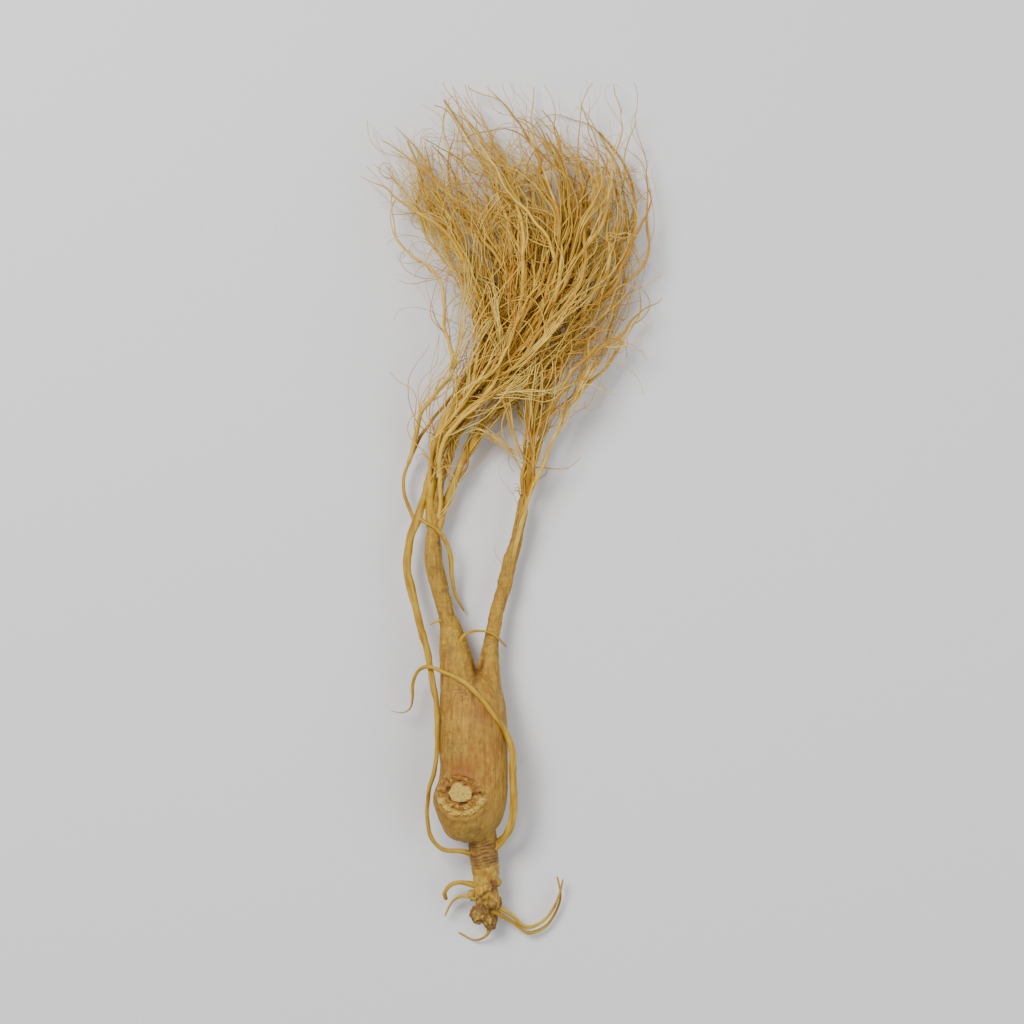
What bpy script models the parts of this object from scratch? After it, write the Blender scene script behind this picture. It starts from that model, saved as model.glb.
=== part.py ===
"""A dried white ginseng root: stout body, knobbly neck, two legs and a tangle of long rootlets.

It lies on a flat surface. +Y runs from the neck to the tips of the rootlets, +Z is up, and the origin is the
middle of the small flat spot under the body. Three low points carry it, a tenth of a millimetre below that
spot and far apart: the tips of both legs and of a rootlet of the head. Places and sizes are in millimetres
until a mesh is made, which is in metres.
"""

import math
import random

import bmesh
import bpy
from mathutils import Matrix, Vector
from mathutils.bvhtree import BVHTree

MM = 0.001
NODE = "ginseng_root"
SKIN_COLOUR = (0.42, 0.25, 0.08, 1.0)
SKIN_ROUGHNESS = 0.72
WELD = 1e-6
ABOVE_ALL = 60.0
SHARP_ANGLE = math.radians(50)

# Body sections from the blunt lower end to the shoulder: y, middle x, half width, half height, middle z
BODY_SECTIONS = (
    (-20.7, -0.6, 1.6, 1.4, 7.6),
    (-20.1, -0.9, 3.6, 3.2, 7.5),
    (-18.7, -0.9, 5.5, 4.9, 7.3),
    (-15.7, -0.6, 7.3, 6.8, 7.1),
    (-10.6, -0.8, 8.7, 7.8, 7.2),
    (-5.0, 0.1, 8.0, 7.9, 7.3),
    (2.0, 0.0, 8.0, 7.9, 7.3),
    (9.0, -0.1, 7.8, 7.5, 7.2),
    (14.0, -0.4, 7.3, 6.9, 6.7),
    (17.4, -0.7, 5.6, 5.2, 6.8),
    (19.0, -0.9, 3.2, 2.8, 6.9),
    (19.6, -1.0, 1.2, 1.0, 6.8),
)
BODY_SIDES = 24
SECTIONS_PER_SPAN = 2
FURROWS = 7
FURROW_DEPTH = 0.022
FURROW_TWIST = 0.05

# Round cut scar on the body's upper face, with a dark ring round a pale disc and a torn rim
SCAR_PLACE = Vector((-3.1, -9.4, 0.0))
SCAR_FACING = Vector((-0.26, -0.17, 1.0)).normalized()
SCAR_DEPTH = 0.95
SCAR_RADIUS = 4.9
SCAR_RIM_RADIUS = 4.5
SCAR_RIM_THICKNESS = 0.42
SCAR_RIM_LOWER_SIDE = 0.26
SCAR_RIM_LOWER_ANGLE = 0.3
SCAR_RIM_THICK_WAVES = (5, 0.05)
SCAR_RIM_RADIUS_WAVES = (3, 0.12)
SCAR_RIM_SIDES = 5
SCAR_PROFILE = ((0.0, 0.35), (2.3, 0.30), (2.8, -0.10), (3.2, -0.55), (3.7, -0.40), (4.9, 0.10))
SCAR_STEPS = 20
SCAR_CUTTER_HEIGHT = 5.0
SCAR_CUTTER_FLARE = 1.6

# Legs, branches and strands: x, y, z and radius of each point that the piece passes through
LEFT_LEG = (
    (-1.8, 5.0, 7.4, 5.2), (-2.7, 13.0, 7.4, 5.1), (-3.8, 20.0, 7.2, 4.2), (-4.6, 25.0, 6.8, 3.5),
    (-5.4, 29.0, 6.3, 2.7), (-6.5, 33.0, 5.8, 2.1), (-7.9, 38.5, 5.3, 2.2), (-9.2, 44.5, 4.9, 2.3),
    (-9.5, 49.0, 4.6, 1.9), (-9.0, 53.0, 4.4, 1.35), (-8.2, 60.0, 4.6, 1.3), (-6.6, 66.5, 4.9, 1.2),
    (-2.8, 75.5, 5.8, 1.0), (4.2, 86.5, 7.6, 0.85), (9.4, 97.5, 8.8, 0.7), (10.9, 110.0, 9.0, 0.55),
    (7.0, 126.5, 7.4, 0.42), (0.0, 141.5, 3.8, 0.33), (-7.0, 153.0, 0.13, 0.22),
)
RIGHT_LEG = (
    (2.0, 4.0, 6.8, 5.0), (2.8, 12.0, 6.8, 4.2), (3.5, 19.5, 6.3, 2.8), (4.1, 25.0, 5.6, 2.1),
    (5.4, 31.5, 5.0, 1.9), (7.6, 40.5, 4.5, 1.8), (10.2, 50.5, 4.0, 1.5), (12.2, 62.0, 3.8, 1.1),
    (14.0, 74.0, 4.4, 0.9), (18.0, 87.0, 5.8, 0.75), (25.0, 99.5, 7.2, 0.6), (33.0, 110.5, 7.6, 0.5),
    (37.6, 123.0, 6.4, 0.4), (36.0, 136.0, 3.4, 0.3), (29.5, 145.5, 0.12, 0.22),
)
LEFT_BRANCH = (
    (-9.2, 49.0, 4.6, 1.00), (-10.2, 56.0, 5.0, 1.00), (-9.9, 63.0, 5.4, 0.90), (-6.4, 73.0, 6.4, 0.80),
    (-0.4, 83.0, 8.0, 0.70), (3.8, 93.0, 9.0, 0.60), (3.4, 104.5, 8.8, 0.52), (-2.2, 117.0, 7.4, 0.44),
    (-8.4, 130.0, 5.4, 0.36), (-11.4, 143.0, 3.0, 0.25),
)
RIGHT_BRANCH = (
    (-8.8, 51.0, 4.5, 1.00), (-6.2, 59.0, 4.4, 0.95), (-2.6, 67.5, 4.8, 0.88), (3.4, 78.0, 5.6, 0.78),
    (11.2, 88.5, 6.8, 0.68), (18.2, 99.5, 8.0, 0.58), (22.0, 111.5, 8.6, 0.50), (22.6, 124.5, 7.4, 0.42),
    (19.4, 137.5, 4.8, 0.33), (14.0, 149.0, 1.00, 0.24),
)
SIDE_STRAND = (
    (2.4, -24.6, 5.6, 0.50), (-2.9, -23.2, 6.2, 0.50), (-8.1, -22.3, 6.8, 0.50), (-10.5, -17.5, 7.6, 0.50),
    (-10.4, -9.5, 8.8, 0.50), (-8.6, -1.7, 9.8, 0.55), (-8.4, 9.0, 9.6, 0.60), (-9.6, 18.5, 8.8, 0.72),
    (-12.0, 28.5, 7.6, 0.88), (-14.7, 38.5, 6.6, 0.95), (-15.4, 47.5, 5.8, 0.95), (-12.9, 55.0, 5.2, 0.98),
    (-10.6, 62.5, 5.4, 0.90), (-7.2, 74.0, 6.6, 0.75), (-1.2, 84.1, 9.2, 0.65), (7.0, 90.0, 11.6, 0.58),
    (15.0, 101.0, 12.8, 0.50), (19.0, 114.0, 12.6, 0.43), (18.0, 129.0, 10.4, 0.36), (12.0, 144.5, 6.2, 0.28),
    (3.0, 156.0, 2.6, 0.20),
)
FRONT_STRAND = (
    (1.8, -24.0, 5.2, 0.86), (5.2, -21.6, 6.6, 0.88), (7.8, -18.6, 8.0, 0.86), (9.2, -13.0, 9.2, 0.84),
    (9.2, -5.0, 10.0, 0.80), (8.7, 1.5, 10.4, 0.75), (6.9, 6.0, 11.0, 0.70), (4.1, 10.2, 11.0, 0.65),
    (1.5, 13.6, 11.0, 0.60), (-1.6, 16.6, 11.0, 0.55), (-5.4, 18.3, 11.0, 0.50), (-9.2, 20.0, 10.6, 0.46),
    (-12.2, 19.6, 8.8, 0.42), (-14.2, 16.4, 6.8, 0.38), (-14.3, 11.2, 5.2, 0.33), (-15.9, 9.0, 4.4, 0.30),
    (-19.3, 9.4, 4.0, 0.20),
)
OUTER_STRAND = (
    (-13.4, 53.2, 5.4, 0.45), (-15.6, 58.0, 4.4, 0.42), (-16.3, 63.0, 3.8, 0.40), (-14.4, 69.5, 4.2, 0.40),
    (-10.0, 77.0, 5.6, 0.38), (-3.4, 85.0, 7.4, 0.36), (1.8, 94.5, 9.0, 0.34), (2.6, 105.5, 9.4, 0.32),
    (-1.4, 117.0, 8.6, 0.30), (-7.6, 129.0, 6.8, 0.27), (-12.6, 140.0, 4.0, 0.22), (-18.5, 147.0, 1.6, 0.18),
)

# Each drawn strand's route and how many points its tube has, and those that lie on the body
DRAWN_STRANDS = {
    "left_leg": (LEFT_LEG, 37),
    "right_leg": (RIGHT_LEG, 34),
    "side_strand": (SIDE_STRAND, 42),
    "front_strand": (FRONT_STRAND, 30),
    "outer_strand": (OUTER_STRAND, 22),
    "left_branch": (LEFT_BRANCH, 20),
    "right_branch": (RIGHT_BRANCH, 20),
}
LAID_STRANDS = ("side_strand", "front_strand")
PER_SPAN = 8
LEG_SIDES_LEVEL = 2
NECK_SIDES_LEVEL = 3
STRAND_SIDES_LEVEL = 1
ROOTLET_SIDES_LEVEL = 0

# Neck with its ringed collar: x, y, z and radius, then the rings' spacing and height
NECK = (
    (1.0, -15.0, 6.6, 3.4), (2.2, -20.0, 6.0, 3.4), (2.5, -24.5, 5.6, 3.3), (2.9, -28.5, 5.4, 3.1),
    (3.0, -32.5, 5.2, 2.9), (3.1, -35.5, 5.0, 2.4),
)
NECK_PER_SPAN = 10
NECK_POINTS = 27
COLLAR_Y = (-26.0, -20.0)
COLLAR_RING_SPACING = 1.5
COLLAR_RING_HEIGHT = 0.22

# Where a strand is still inside the neck that it grows from
NECK_ROOTED_Y = -20.5
NECK_ROOTED_X = (-1.4, 6.4)

# Knobs of the old head: x, y, z, then the three half sizes
HEAD_KNOBS = (
    (4.0, -35.1, 5.4, 2.8, 1.9, 2.3),
    (1.5, -38.0, 4.9, 2.7, 2.4, 2.3),
    (3.9, -39.6, 4.6, 2.0, 2.2, 2.0),
    (5.0, -30.4, 5.6, 1.5, 1.5, 1.6),
    (-0.2, -33.8, 4.0, 1.4, 1.5, 1.5),
)
KNOB_SUBDIVISIONS = 2

# Short rootlets of the neck, shoulder and leg, drawn one by one: x, y, z, radius
SHORT_ROOTLETS = (
    ((4.6, -35.6, 5.0, 0.50), (8.7, -38.0, 4.4, 0.46), (12.2, -41.2, 3.4, 0.42), (16.2, -40.0, 2.8, 0.36),
     (19.4, -35.8, 2.6, 0.32), (20.9, -30.2, 2.8, 0.22)),
    ((4.2, -37.0, 4.2, 0.45), (9.3, -40.2, 3.2, 0.42), (13.2, -42.8, 2.2, 0.38), (17.6, -40.6, 1.8, 0.33),
     (20.4, -35.0, 2.0, 0.28), (19.6, -29.6, 3.4, 0.20)),
    ((1.0, -31.2, 5.2, 0.55), (-2.9, -30.5, 5.6, 0.52), (-5.4, -31.2, 5.4, 0.50), (-6.7, -33.0, 4.8, 0.50),
     (-6.4, -34.6, 4.0, 0.46)),
    ((1.0, -34.4, 4.6, 0.36), (-2.6, -33.9, 4.4, 0.34), (-5.0, -35.4, 3.4, 0.30), (-6.6, -38.8, 2.2, 0.22)),
    ((3.6, -40.4, 4.0, 0.40), (3.2, -43.2, 2.8, 0.34), (0.4, -44.6, 1.2, 0.28), (-3.4, -43.2, 0.05, 0.20)),
    ((-5.6, 30.6, 6.2, 0.42), (-8.0, 30.6, 6.8, 0.32), (-10.0, 29.8, 7.0, 0.20)),
    ((-3.4, 24.8, 8.2, 0.36), (-1.9, 27.6, 9.4, 0.34), (1.2, 28.5, 8.6, 0.30), (4.8, 27.4, 7.6, 0.26),
     (7.6, 24.6, 6.0, 0.20)),
    ((-13.2, 54.6, 5.4, 0.36), (-11.2, 53.6, 6.6, 0.38), (-8.8, 52.2, 6.9, 0.42), (-6.6, 49.4, 6.2, 0.50),
     (-5.3, 45.4, 5.0, 0.58), (-5.1, 41.0, 4.2, 0.52), (-4.2, 36.6, 3.2, 0.36), (-2.4, 33.0, 2.0, 0.22)),
)
SHORT_ROOTLET_POINTS = 2

# Long rootlets drawn by rule: from which piece, how many, and the stretch of its length that they leave
LONG_ROOTLETS = (
    ("left_leg", 11, 0.30, 0.72),
    ("right_leg", 13, 0.26, 0.72),
    ("side_strand", 8, 0.42, 0.78),
    ("outer_strand", 3, 0.10, 0.60),
    ("left_branch", 4, 0.08, 0.60),
    ("right_branch", 5, 0.08, 0.60),
)
ROOTLET_SEED = 334
ROOTLET_LENGTH = (48.0, 96.0)
ROOTLET_RADIUS = (0.36, 0.60)
ROOTLET_TIP = 0.45
ROOTLET_STEP = 6.0
SPREAD_ANGLE = 0.22
SPREAD_GROWS_OVER = 1 / 3
WAVE_ANGLE = (0.08, 0.30)
WAVE_LENGTH = (18.0, 36.0)
CURL_ANGLE = (0.2, 1.5)
CURL_START = 0.6
LOWEST_TIP, HIGHEST_TIP = 0.8, 12.0
RISE = (-3.0, 9.0)
LEFTMOST_X, RIGHTMOST_X, FURTHEST_Y = -26.0, 46.0, 157.0
TIP_SCATTER = 22.0
EMBEDDED = 0.35


def clear_scene():
    """Removes whatever the scene holds."""
    for item in list(bpy.data.objects):
        bpy.data.objects.remove(item)


def smooth(points, per_span):
    """The points, with a smooth curve's points filled in between them, each of any number of values."""
    padded = [Vector(p) for p in (points[0], *points, points[-1])]
    filled = []
    for a, b, c, d in zip(padded, padded[1:], padded[2:], padded[3:]):
        for i in range(per_span):
            t = i / per_span
            filled.append(
                0.5 * (2 * b + (c - a) * t + (2 * a - 5 * b + 4 * c - d) * t**2 + (3 * b - a - 3 * c + d) * t**3)
            )
    return filled + [padded[-1]]


def evenly(points, count):
    """count points at equal distances along a dense line of (x, y, z, radius) points."""
    reached = [0.0]
    for a, b in zip(points, points[1:]):
        reached.append(reached[-1] + (b.xyz - a.xyz).length)
    picked, i = [], 0
    for n in range(count):
        target = reached[-1] * n / (count - 1)
        while i < len(points) - 2 and reached[i + 1] < target:
            i += 1
        share = (target - reached[i]) / max(reached[i + 1] - reached[i], 1e-9)
        picked.append(points[i].lerp(points[i + 1], min(share, 1.0)))
    return picked


def mesh_object(name, bm):
    """The bmesh as an object, its normals facing out."""
    bmesh.ops.remove_doubles(bm, verts=bm.verts, dist=WELD)
    bmesh.ops.recalc_face_normals(bm, faces=bm.faces)
    mesh = bpy.data.meshes.new(name)
    bm.to_mesh(mesh)
    bm.free()
    item = bpy.data.objects.new(name, mesh)
    bpy.context.collection.objects.link(item)
    return item


def tube(name, points, sides_level):
    """A closed tube through (x, y, z, radius) points, as a mesh object."""
    curve = bpy.data.curves.new(name, "CURVE")
    curve.dimensions = "3D"
    curve.bevel_depth = MM
    curve.bevel_resolution = sides_level
    curve.use_fill_caps = True
    spline = curve.splines.new("POLY")
    spline.points.add(len(points) - 1)
    for place, point in zip(points, spline.points):
        point.co = (*(place.xyz * MM), 1.0)
        point.radius = place[3]
    item = bpy.data.objects.new(name, curve)
    bpy.context.collection.objects.link(item)
    bpy.context.view_layer.update()
    bm = bmesh.new()
    bm.from_mesh(item.to_mesh())
    bpy.data.objects.remove(item)
    return mesh_object(name, bm)


def body():
    """The stout body: oval sections with shallow lengthwise furrows, cut flat where it rests."""
    bm = bmesh.new()
    rings = []
    for y, x, half_width, half_height, z in smooth(BODY_SECTIONS, SECTIONS_PER_SPAN):
        ring = []
        for i in range(BODY_SIDES):
            angle = math.tau * i / BODY_SIDES
            furrow = 1 + FURROW_DEPTH * math.sin(FURROWS * angle + FURROW_TWIST * y)
            place = Vector(
                (x + half_width * furrow * math.cos(angle), y, z + half_height * furrow * math.sin(angle))
            )
            ring.append(bm.verts.new(place * MM))
        rings.append(ring)
    for lower, upper in zip(rings, rings[1:]):
        for i in range(BODY_SIDES):
            j = (i + 1) % BODY_SIDES
            bm.faces.new((lower[i], lower[j], upper[j], upper[i]))
    bm.faces.new(rings[0])
    bm.faces.new(rings[-1])
    everything = bm.verts[:] + bm.edges[:] + bm.faces[:]
    bmesh.ops.bisect_plane(bm, geom=everything, plane_co=(0, 0, 0), plane_no=(0, 0, -1), clear_outer=True)
    bmesh.ops.holes_fill(bm, edges=[e for e in bm.edges if e.is_boundary])
    return mesh_object(NODE, bm)


def surface_of(item):
    """A search tree of the object's surface, for laying strands on it."""
    return BVHTree.FromPolygons([v.co for v in item.data.vertices], [p.vertices for p in item.data.polygons])


def top_at(surface, x, y):
    """The height of the surface above (x, y), in millimetres, or None beside it."""
    hit = surface.ray_cast(Vector((x, y, ABOVE_ALL)) * MM, Vector((0, 0, -1)))[0]
    return None if hit is None else hit.z / MM


def scar_matrix(surface):
    """Puts the scar's own +Z along its facing, with its origin in the plane of the cut."""
    face = Vector((SCAR_PLACE.x, SCAR_PLACE.y, top_at(surface, SCAR_PLACE.x, SCAR_PLACE.y)))
    turn = Vector((0, 0, 1)).rotation_difference(SCAR_FACING).to_matrix().to_4x4()
    return Matrix.Translation((face - SCAR_FACING * SCAR_DEPTH) * MM) @ turn


def turned(name, profile, place):
    """A closed piece spun from its (radius, height) profile, which starts and ends on the axis."""
    bm = bmesh.new()
    line = [bm.verts.new(Vector((r, 0, h)) * MM) for r, h in profile]
    edges = [bm.edges.new(pair) for pair in zip(line, line[1:])]
    bmesh.ops.spin(bm, geom=line + edges, cent=(0, 0, 0), axis=(0, 0, 1), angle=math.tau, steps=SCAR_STEPS)
    bm.transform(place)
    return mesh_object(name, bm)


def scar_cutter(place):
    """What is cut away at the scar: flat over the rim, sunk at the dark ring, raised at the disc."""
    top = ((SCAR_RADIUS + SCAR_CUTTER_FLARE, SCAR_CUTTER_HEIGHT), (0.0, SCAR_CUTTER_HEIGHT))
    return turned("scar_cutter", SCAR_PROFILE + top, place)


def waved(angle, count, height):
    """The height at an angle of a number of waves round a ring."""
    return height * math.sin(count * angle)


def scar_rim(place):
    """The torn rim, thickest on the side of the neck."""
    bm = bmesh.new()
    rings = []
    for i in range(SCAR_STEPS):
        angle = math.tau * i / SCAR_STEPS
        lower_side = max(0.0, -math.sin(angle + SCAR_RIM_LOWER_ANGLE))
        thick = SCAR_RIM_THICKNESS + SCAR_RIM_LOWER_SIDE * lower_side + waved(angle, *SCAR_RIM_THICK_WAVES)
        radius = SCAR_RIM_RADIUS + waved(angle, *SCAR_RIM_RADIUS_WAVES)
        ring = []
        for k in range(SCAR_RIM_SIDES):
            around = math.tau * k / SCAR_RIM_SIDES
            r = radius + thick * math.cos(around)
            ring.append(
                bm.verts.new(Vector((r * math.cos(angle), r * math.sin(angle), thick * math.sin(around))) * MM)
            )
        rings.append(ring)
    for i, ring in enumerate(rings):
        following = rings[(i + 1) % SCAR_STEPS]
        for k in range(SCAR_RIM_SIDES):
            j = (k + 1) % SCAR_RIM_SIDES
            bm.faces.new((ring[k], ring[j], following[j], following[k]))
    bm.transform(place)
    return mesh_object("scar_rim", bm)


def neck():
    """The neck, its collar closely ringed."""
    points = evenly(smooth(NECK, NECK_PER_SPAN), NECK_POINTS)
    for p in points:
        if COLLAR_Y[0] < p.y < COLLAR_Y[1]:
            p[3] += COLLAR_RING_HEIGHT * math.cos(math.tau * p.y / COLLAR_RING_SPACING)
    return tube("neck", points, NECK_SIDES_LEVEL)


def knobs():
    """The rounded knobs that old stems have left on the head."""
    for x, y, z, *half_sizes in HEAD_KNOBS:
        bm = bmesh.new()
        bmesh.ops.create_icosphere(bm, subdivisions=KNOB_SUBDIVISIONS, radius=MM)
        bm.transform(Matrix.Translation(Vector((x, y, z)) * MM) @ Matrix.Diagonal((*half_sizes, 1)))
        mesh_object("knob", bm)


def rooted(p):
    """True where a strand is still inside the neck that it grows from."""
    return p.y < NECK_ROOTED_Y and NECK_ROOTED_X[0] < p.x < NECK_ROOTED_X[1]


def laid(points, surface):
    """The points, raised where needed so that the strand lies on the surface, a little sunk in."""
    for p in points:
        if rooted(p):
            continue
        top = top_at(surface, p.x, p.y)
        if top is not None:
            p.z = max(p.z, top + (1 - EMBEDDED) * p[3])
    return points


def heading(parent, distance):
    """The point of a line at a distance along it, and its direction in the plan."""
    reached = 0.0
    for a, b in zip(parent, parent[1:]):
        reached += (b.xyz - a.xyz).length
        if reached >= distance:
            break
    return a, math.atan2(b.y - a.y, b.x - a.x)


def long_rootlet(rng, parent, from_share, to_share):
    """One long rootlet: it keeps roughly to its parent's course, and drifts, waves and curls at the tip."""
    whole = sum((b.xyz - a.xyz).length for a, b in zip(parent, parent[1:]))
    begin = whole * rng.uniform(from_share, to_share)
    length = rng.uniform(*ROOTLET_LENGTH)
    spread = rng.gauss(0, SPREAD_ANGLE)
    wave, wave_length, phase = rng.uniform(*WAVE_ANGLE), rng.uniform(*WAVE_LENGTH), rng.uniform(0, math.tau)
    curl = rng.choice((-1, 1)) * rng.uniform(*CURL_ANGLE)
    rise, tip_z = rng.uniform(*RISE), rng.uniform(LOWEST_TIP, HIGHEST_TIP)
    furthest = FURTHEST_Y - TIP_SCATTER * rng.random() ** 2
    radius = rng.uniform(*ROOTLET_RADIUS)
    start, _ = heading(parent, begin)
    x, y = start.x, start.y
    points = []
    steps = round(length / ROOTLET_STEP)
    for i in range(steps + 1):
        share = i / steps
        beside, angle = heading(parent, begin + i * ROOTLET_STEP)
        z = beside.z + rise * math.sin(math.pi * share)
        z += (tip_z - z) * share**2
        points.append(Vector((x, y, max(z, radius), radius * (1 - (1 - ROOTLET_TIP) * share))))
        angle += spread * min(1.0, share / SPREAD_GROWS_OVER)
        angle += wave * math.sin(math.tau * i * ROOTLET_STEP / wave_length + phase)
        angle += curl * max(0.0, (share - CURL_START) / (1 - CURL_START)) ** 2
        x += ROOTLET_STEP * math.cos(angle)
        y += ROOTLET_STEP * math.sin(angle)
        if y > furthest or not LEFTMOST_X < x < RIGHTMOST_X:
            break
    return points


def strands(surface):
    """The legs', branches' and strands' lines by name, as (x, y, z, radius) points."""
    lines = {name: evenly(smooth(route, PER_SPAN), count) for name, (route, count) in DRAWN_STRANDS.items()}
    for name in LAID_STRANDS:
        laid(lines[name], surface)
    return lines


def grow(surface):
    """Everything that is fused to the body: strands, legs and rootlets."""
    lines = strands(surface)
    for name, line in lines.items():
        tube(name, line, LEG_SIDES_LEVEL if name.endswith("leg") else STRAND_SIDES_LEVEL)
    for route in SHORT_ROOTLETS:
        points = evenly(smooth(route, PER_SPAN), SHORT_ROOTLET_POINTS * len(route))
        tube("short_rootlet", points, ROOTLET_SIDES_LEVEL)
    rng = random.Random(ROOTLET_SEED)
    for parent, count, from_share, to_share in LONG_ROOTLETS:
        for _ in range(count):
            tube("long_rootlet", long_rootlet(rng, lines[parent], from_share, to_share), ROOTLET_SIDES_LEVEL)


def applied(item):
    """The object's mesh with its modifiers applied."""
    graph = bpy.context.evaluated_depsgraph_get()
    mesh = bpy.data.meshes.new_from_object(item.evaluated_get(graph))
    item.modifiers.clear()
    item.data = mesh
    return item


def cut_with(item, cutter):
    """Cuts the cutter's shape out of the object, and removes the cutter."""
    cut = item.modifiers.new("Scar", "BOOLEAN")
    cut.operation = "DIFFERENCE"
    cut.object = cutter
    applied(item)
    bpy.data.objects.remove(cutter)


def fuse(item, pieces):
    """Joins the pieces to the object in one union, and removes them."""
    group = bpy.data.collections.new("Fused")
    bpy.context.scene.collection.children.link(group)
    for piece in pieces:
        group.objects.link(piece)
    union = item.modifiers.new("Union", "BOOLEAN")
    union.operation = "UNION"
    union.operand_type = "COLLECTION"
    union.collection = group
    applied(item)
    for piece in pieces:
        bpy.data.objects.remove(piece)
    bpy.data.collections.remove(group)


def keep_outer_skin(item):
    """Fills sealed hollows and drops loose scraps: only the largest connected skin stays."""
    bm = bmesh.new()
    bm.from_mesh(item.data)
    bmesh.ops.remove_doubles(bm, verts=bm.verts, dist=WELD)
    waiting = set(bm.verts)
    skins = []
    while waiting:
        skin, edge = set(), [waiting.pop()]
        while edge:
            vert = edge.pop()
            skin.add(vert)
            for link in vert.link_edges:
                other = link.other_vert(vert)
                if other in waiting:
                    waiting.remove(other)
                    edge.append(other)
        skins.append(skin)
    skins.sort(key=len)
    for skin in skins[:-1]:
        bmesh.ops.delete(bm, geom=list(skin), context="VERTS")
    bmesh.ops.triangulate(bm, faces=bm.faces)
    bm.to_mesh(item.data)
    bm.free()


def finish(item):
    """Gives the root its dried skin colour and smooth shading."""
    skin = bpy.data.materials.new("dried_skin")
    skin.use_nodes = True
    surface = skin.node_tree.nodes["Principled BSDF"]
    surface.inputs["Base Color"].default_value = SKIN_COLOUR
    surface.inputs["Roughness"].default_value = SKIN_ROUGHNESS
    surface.inputs["Metallic"].default_value = 0.0
    item.data.materials.clear()
    item.data.materials.append(skin)
    item.data.shade_smooth()
    item.data.set_sharp_from_angle(angle=SHARP_ANGLE)


def build():
    clear_scene()
    root = body()
    surface = surface_of(root)
    scar = scar_matrix(surface)
    cut_with(root, scar_cutter(scar))
    scar_rim(scar)
    neck()
    knobs()
    grow(surface)
    fuse(root, [item for item in bpy.data.objects if item is not root])
    keep_outer_skin(root)
    finish(root)


build()
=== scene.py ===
"""The finished look of a dried white ginseng root, lying on a pale table and seen from straight above.

+Y runs from the neck to the tips of the rootlets and +Z is up. Places and sizes are in millimetres until a
mesh is made, which is in metres.
"""

import math
import random

import bpy
from mathutils import Matrix, Vector, noise
from mathutils.bvhtree import BVHTree

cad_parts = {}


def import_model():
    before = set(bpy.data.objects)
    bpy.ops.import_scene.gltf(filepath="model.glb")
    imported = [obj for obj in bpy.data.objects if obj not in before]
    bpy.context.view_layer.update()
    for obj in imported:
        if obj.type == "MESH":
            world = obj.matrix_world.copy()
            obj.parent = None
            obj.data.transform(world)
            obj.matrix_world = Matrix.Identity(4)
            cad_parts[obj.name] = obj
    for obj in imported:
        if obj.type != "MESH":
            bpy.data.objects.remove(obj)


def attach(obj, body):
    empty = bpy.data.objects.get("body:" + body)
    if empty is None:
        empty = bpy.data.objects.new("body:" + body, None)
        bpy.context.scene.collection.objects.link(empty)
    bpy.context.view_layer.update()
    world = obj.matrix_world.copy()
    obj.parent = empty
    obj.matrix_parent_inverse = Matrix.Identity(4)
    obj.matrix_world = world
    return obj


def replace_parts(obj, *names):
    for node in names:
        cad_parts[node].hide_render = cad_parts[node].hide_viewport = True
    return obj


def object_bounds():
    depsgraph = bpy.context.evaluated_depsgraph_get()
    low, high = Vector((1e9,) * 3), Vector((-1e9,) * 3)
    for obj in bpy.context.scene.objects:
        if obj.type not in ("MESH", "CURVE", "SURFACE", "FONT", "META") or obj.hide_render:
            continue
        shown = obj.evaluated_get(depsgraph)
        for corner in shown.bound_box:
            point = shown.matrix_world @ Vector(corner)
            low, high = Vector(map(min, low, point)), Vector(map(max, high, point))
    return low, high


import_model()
CAD_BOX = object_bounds()

MM = 0.001
NODE = "ginseng_root"

# Camera straight above, the neck at the foot of the picture
VIEW_CENTRE = (9.0, 56.0)
VIEW_HEIGHT = 570.0
LENS = 85.0

# Body sections from the blunt lower end to the shoulder: y, middle x, half width, half height, middle z
BODY_SECTIONS = (
    (-20.7, -0.6, 1.6, 1.4, 7.6),
    (-20.1, -0.9, 3.6, 3.2, 7.5),
    (-18.7, -0.9, 5.5, 4.9, 7.3),
    (-15.7, -0.6, 7.3, 6.8, 7.1),
    (-10.6, -0.8, 8.7, 7.8, 7.2),
    (-5.0, 0.1, 8.0, 7.9, 7.3),
    (2.0, 0.0, 8.0, 7.9, 7.3),
    (9.0, -0.1, 7.8, 7.5, 7.2),
    (14.0, -0.4, 7.3, 6.9, 6.7),
    (17.4, -0.7, 5.6, 5.2, 6.8),
    (19.0, -0.9, 3.2, 2.8, 6.9),
    (19.6, -1.0, 1.2, 1.0, 6.8),
)

# Legs, branches and strands: x, y, z and radius of each point that the piece passes through
LEFT_LEG = (
    (-1.8, 5.0, 7.4, 5.2), (-2.7, 13.0, 7.4, 5.1), (-3.8, 20.0, 7.2, 4.2), (-4.6, 25.0, 6.8, 3.5),
    (-5.4, 29.0, 6.3, 2.7), (-6.5, 33.0, 5.8, 2.1), (-7.9, 38.5, 5.3, 2.2), (-9.2, 44.5, 4.9, 2.3),
    (-9.5, 49.0, 4.6, 1.9), (-9.0, 53.0, 4.4, 1.35), (-8.2, 60.0, 4.6, 1.3), (-6.6, 66.5, 4.9, 1.2),
    (-2.8, 75.5, 5.8, 1.0), (4.2, 86.5, 7.6, 0.85), (9.4, 97.5, 8.8, 0.7), (10.9, 110.0, 9.0, 0.55),
    (7.0, 126.5, 7.4, 0.42), (0.0, 141.5, 3.8, 0.33), (-7.0, 153.0, 0.13, 0.22),
)
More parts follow.
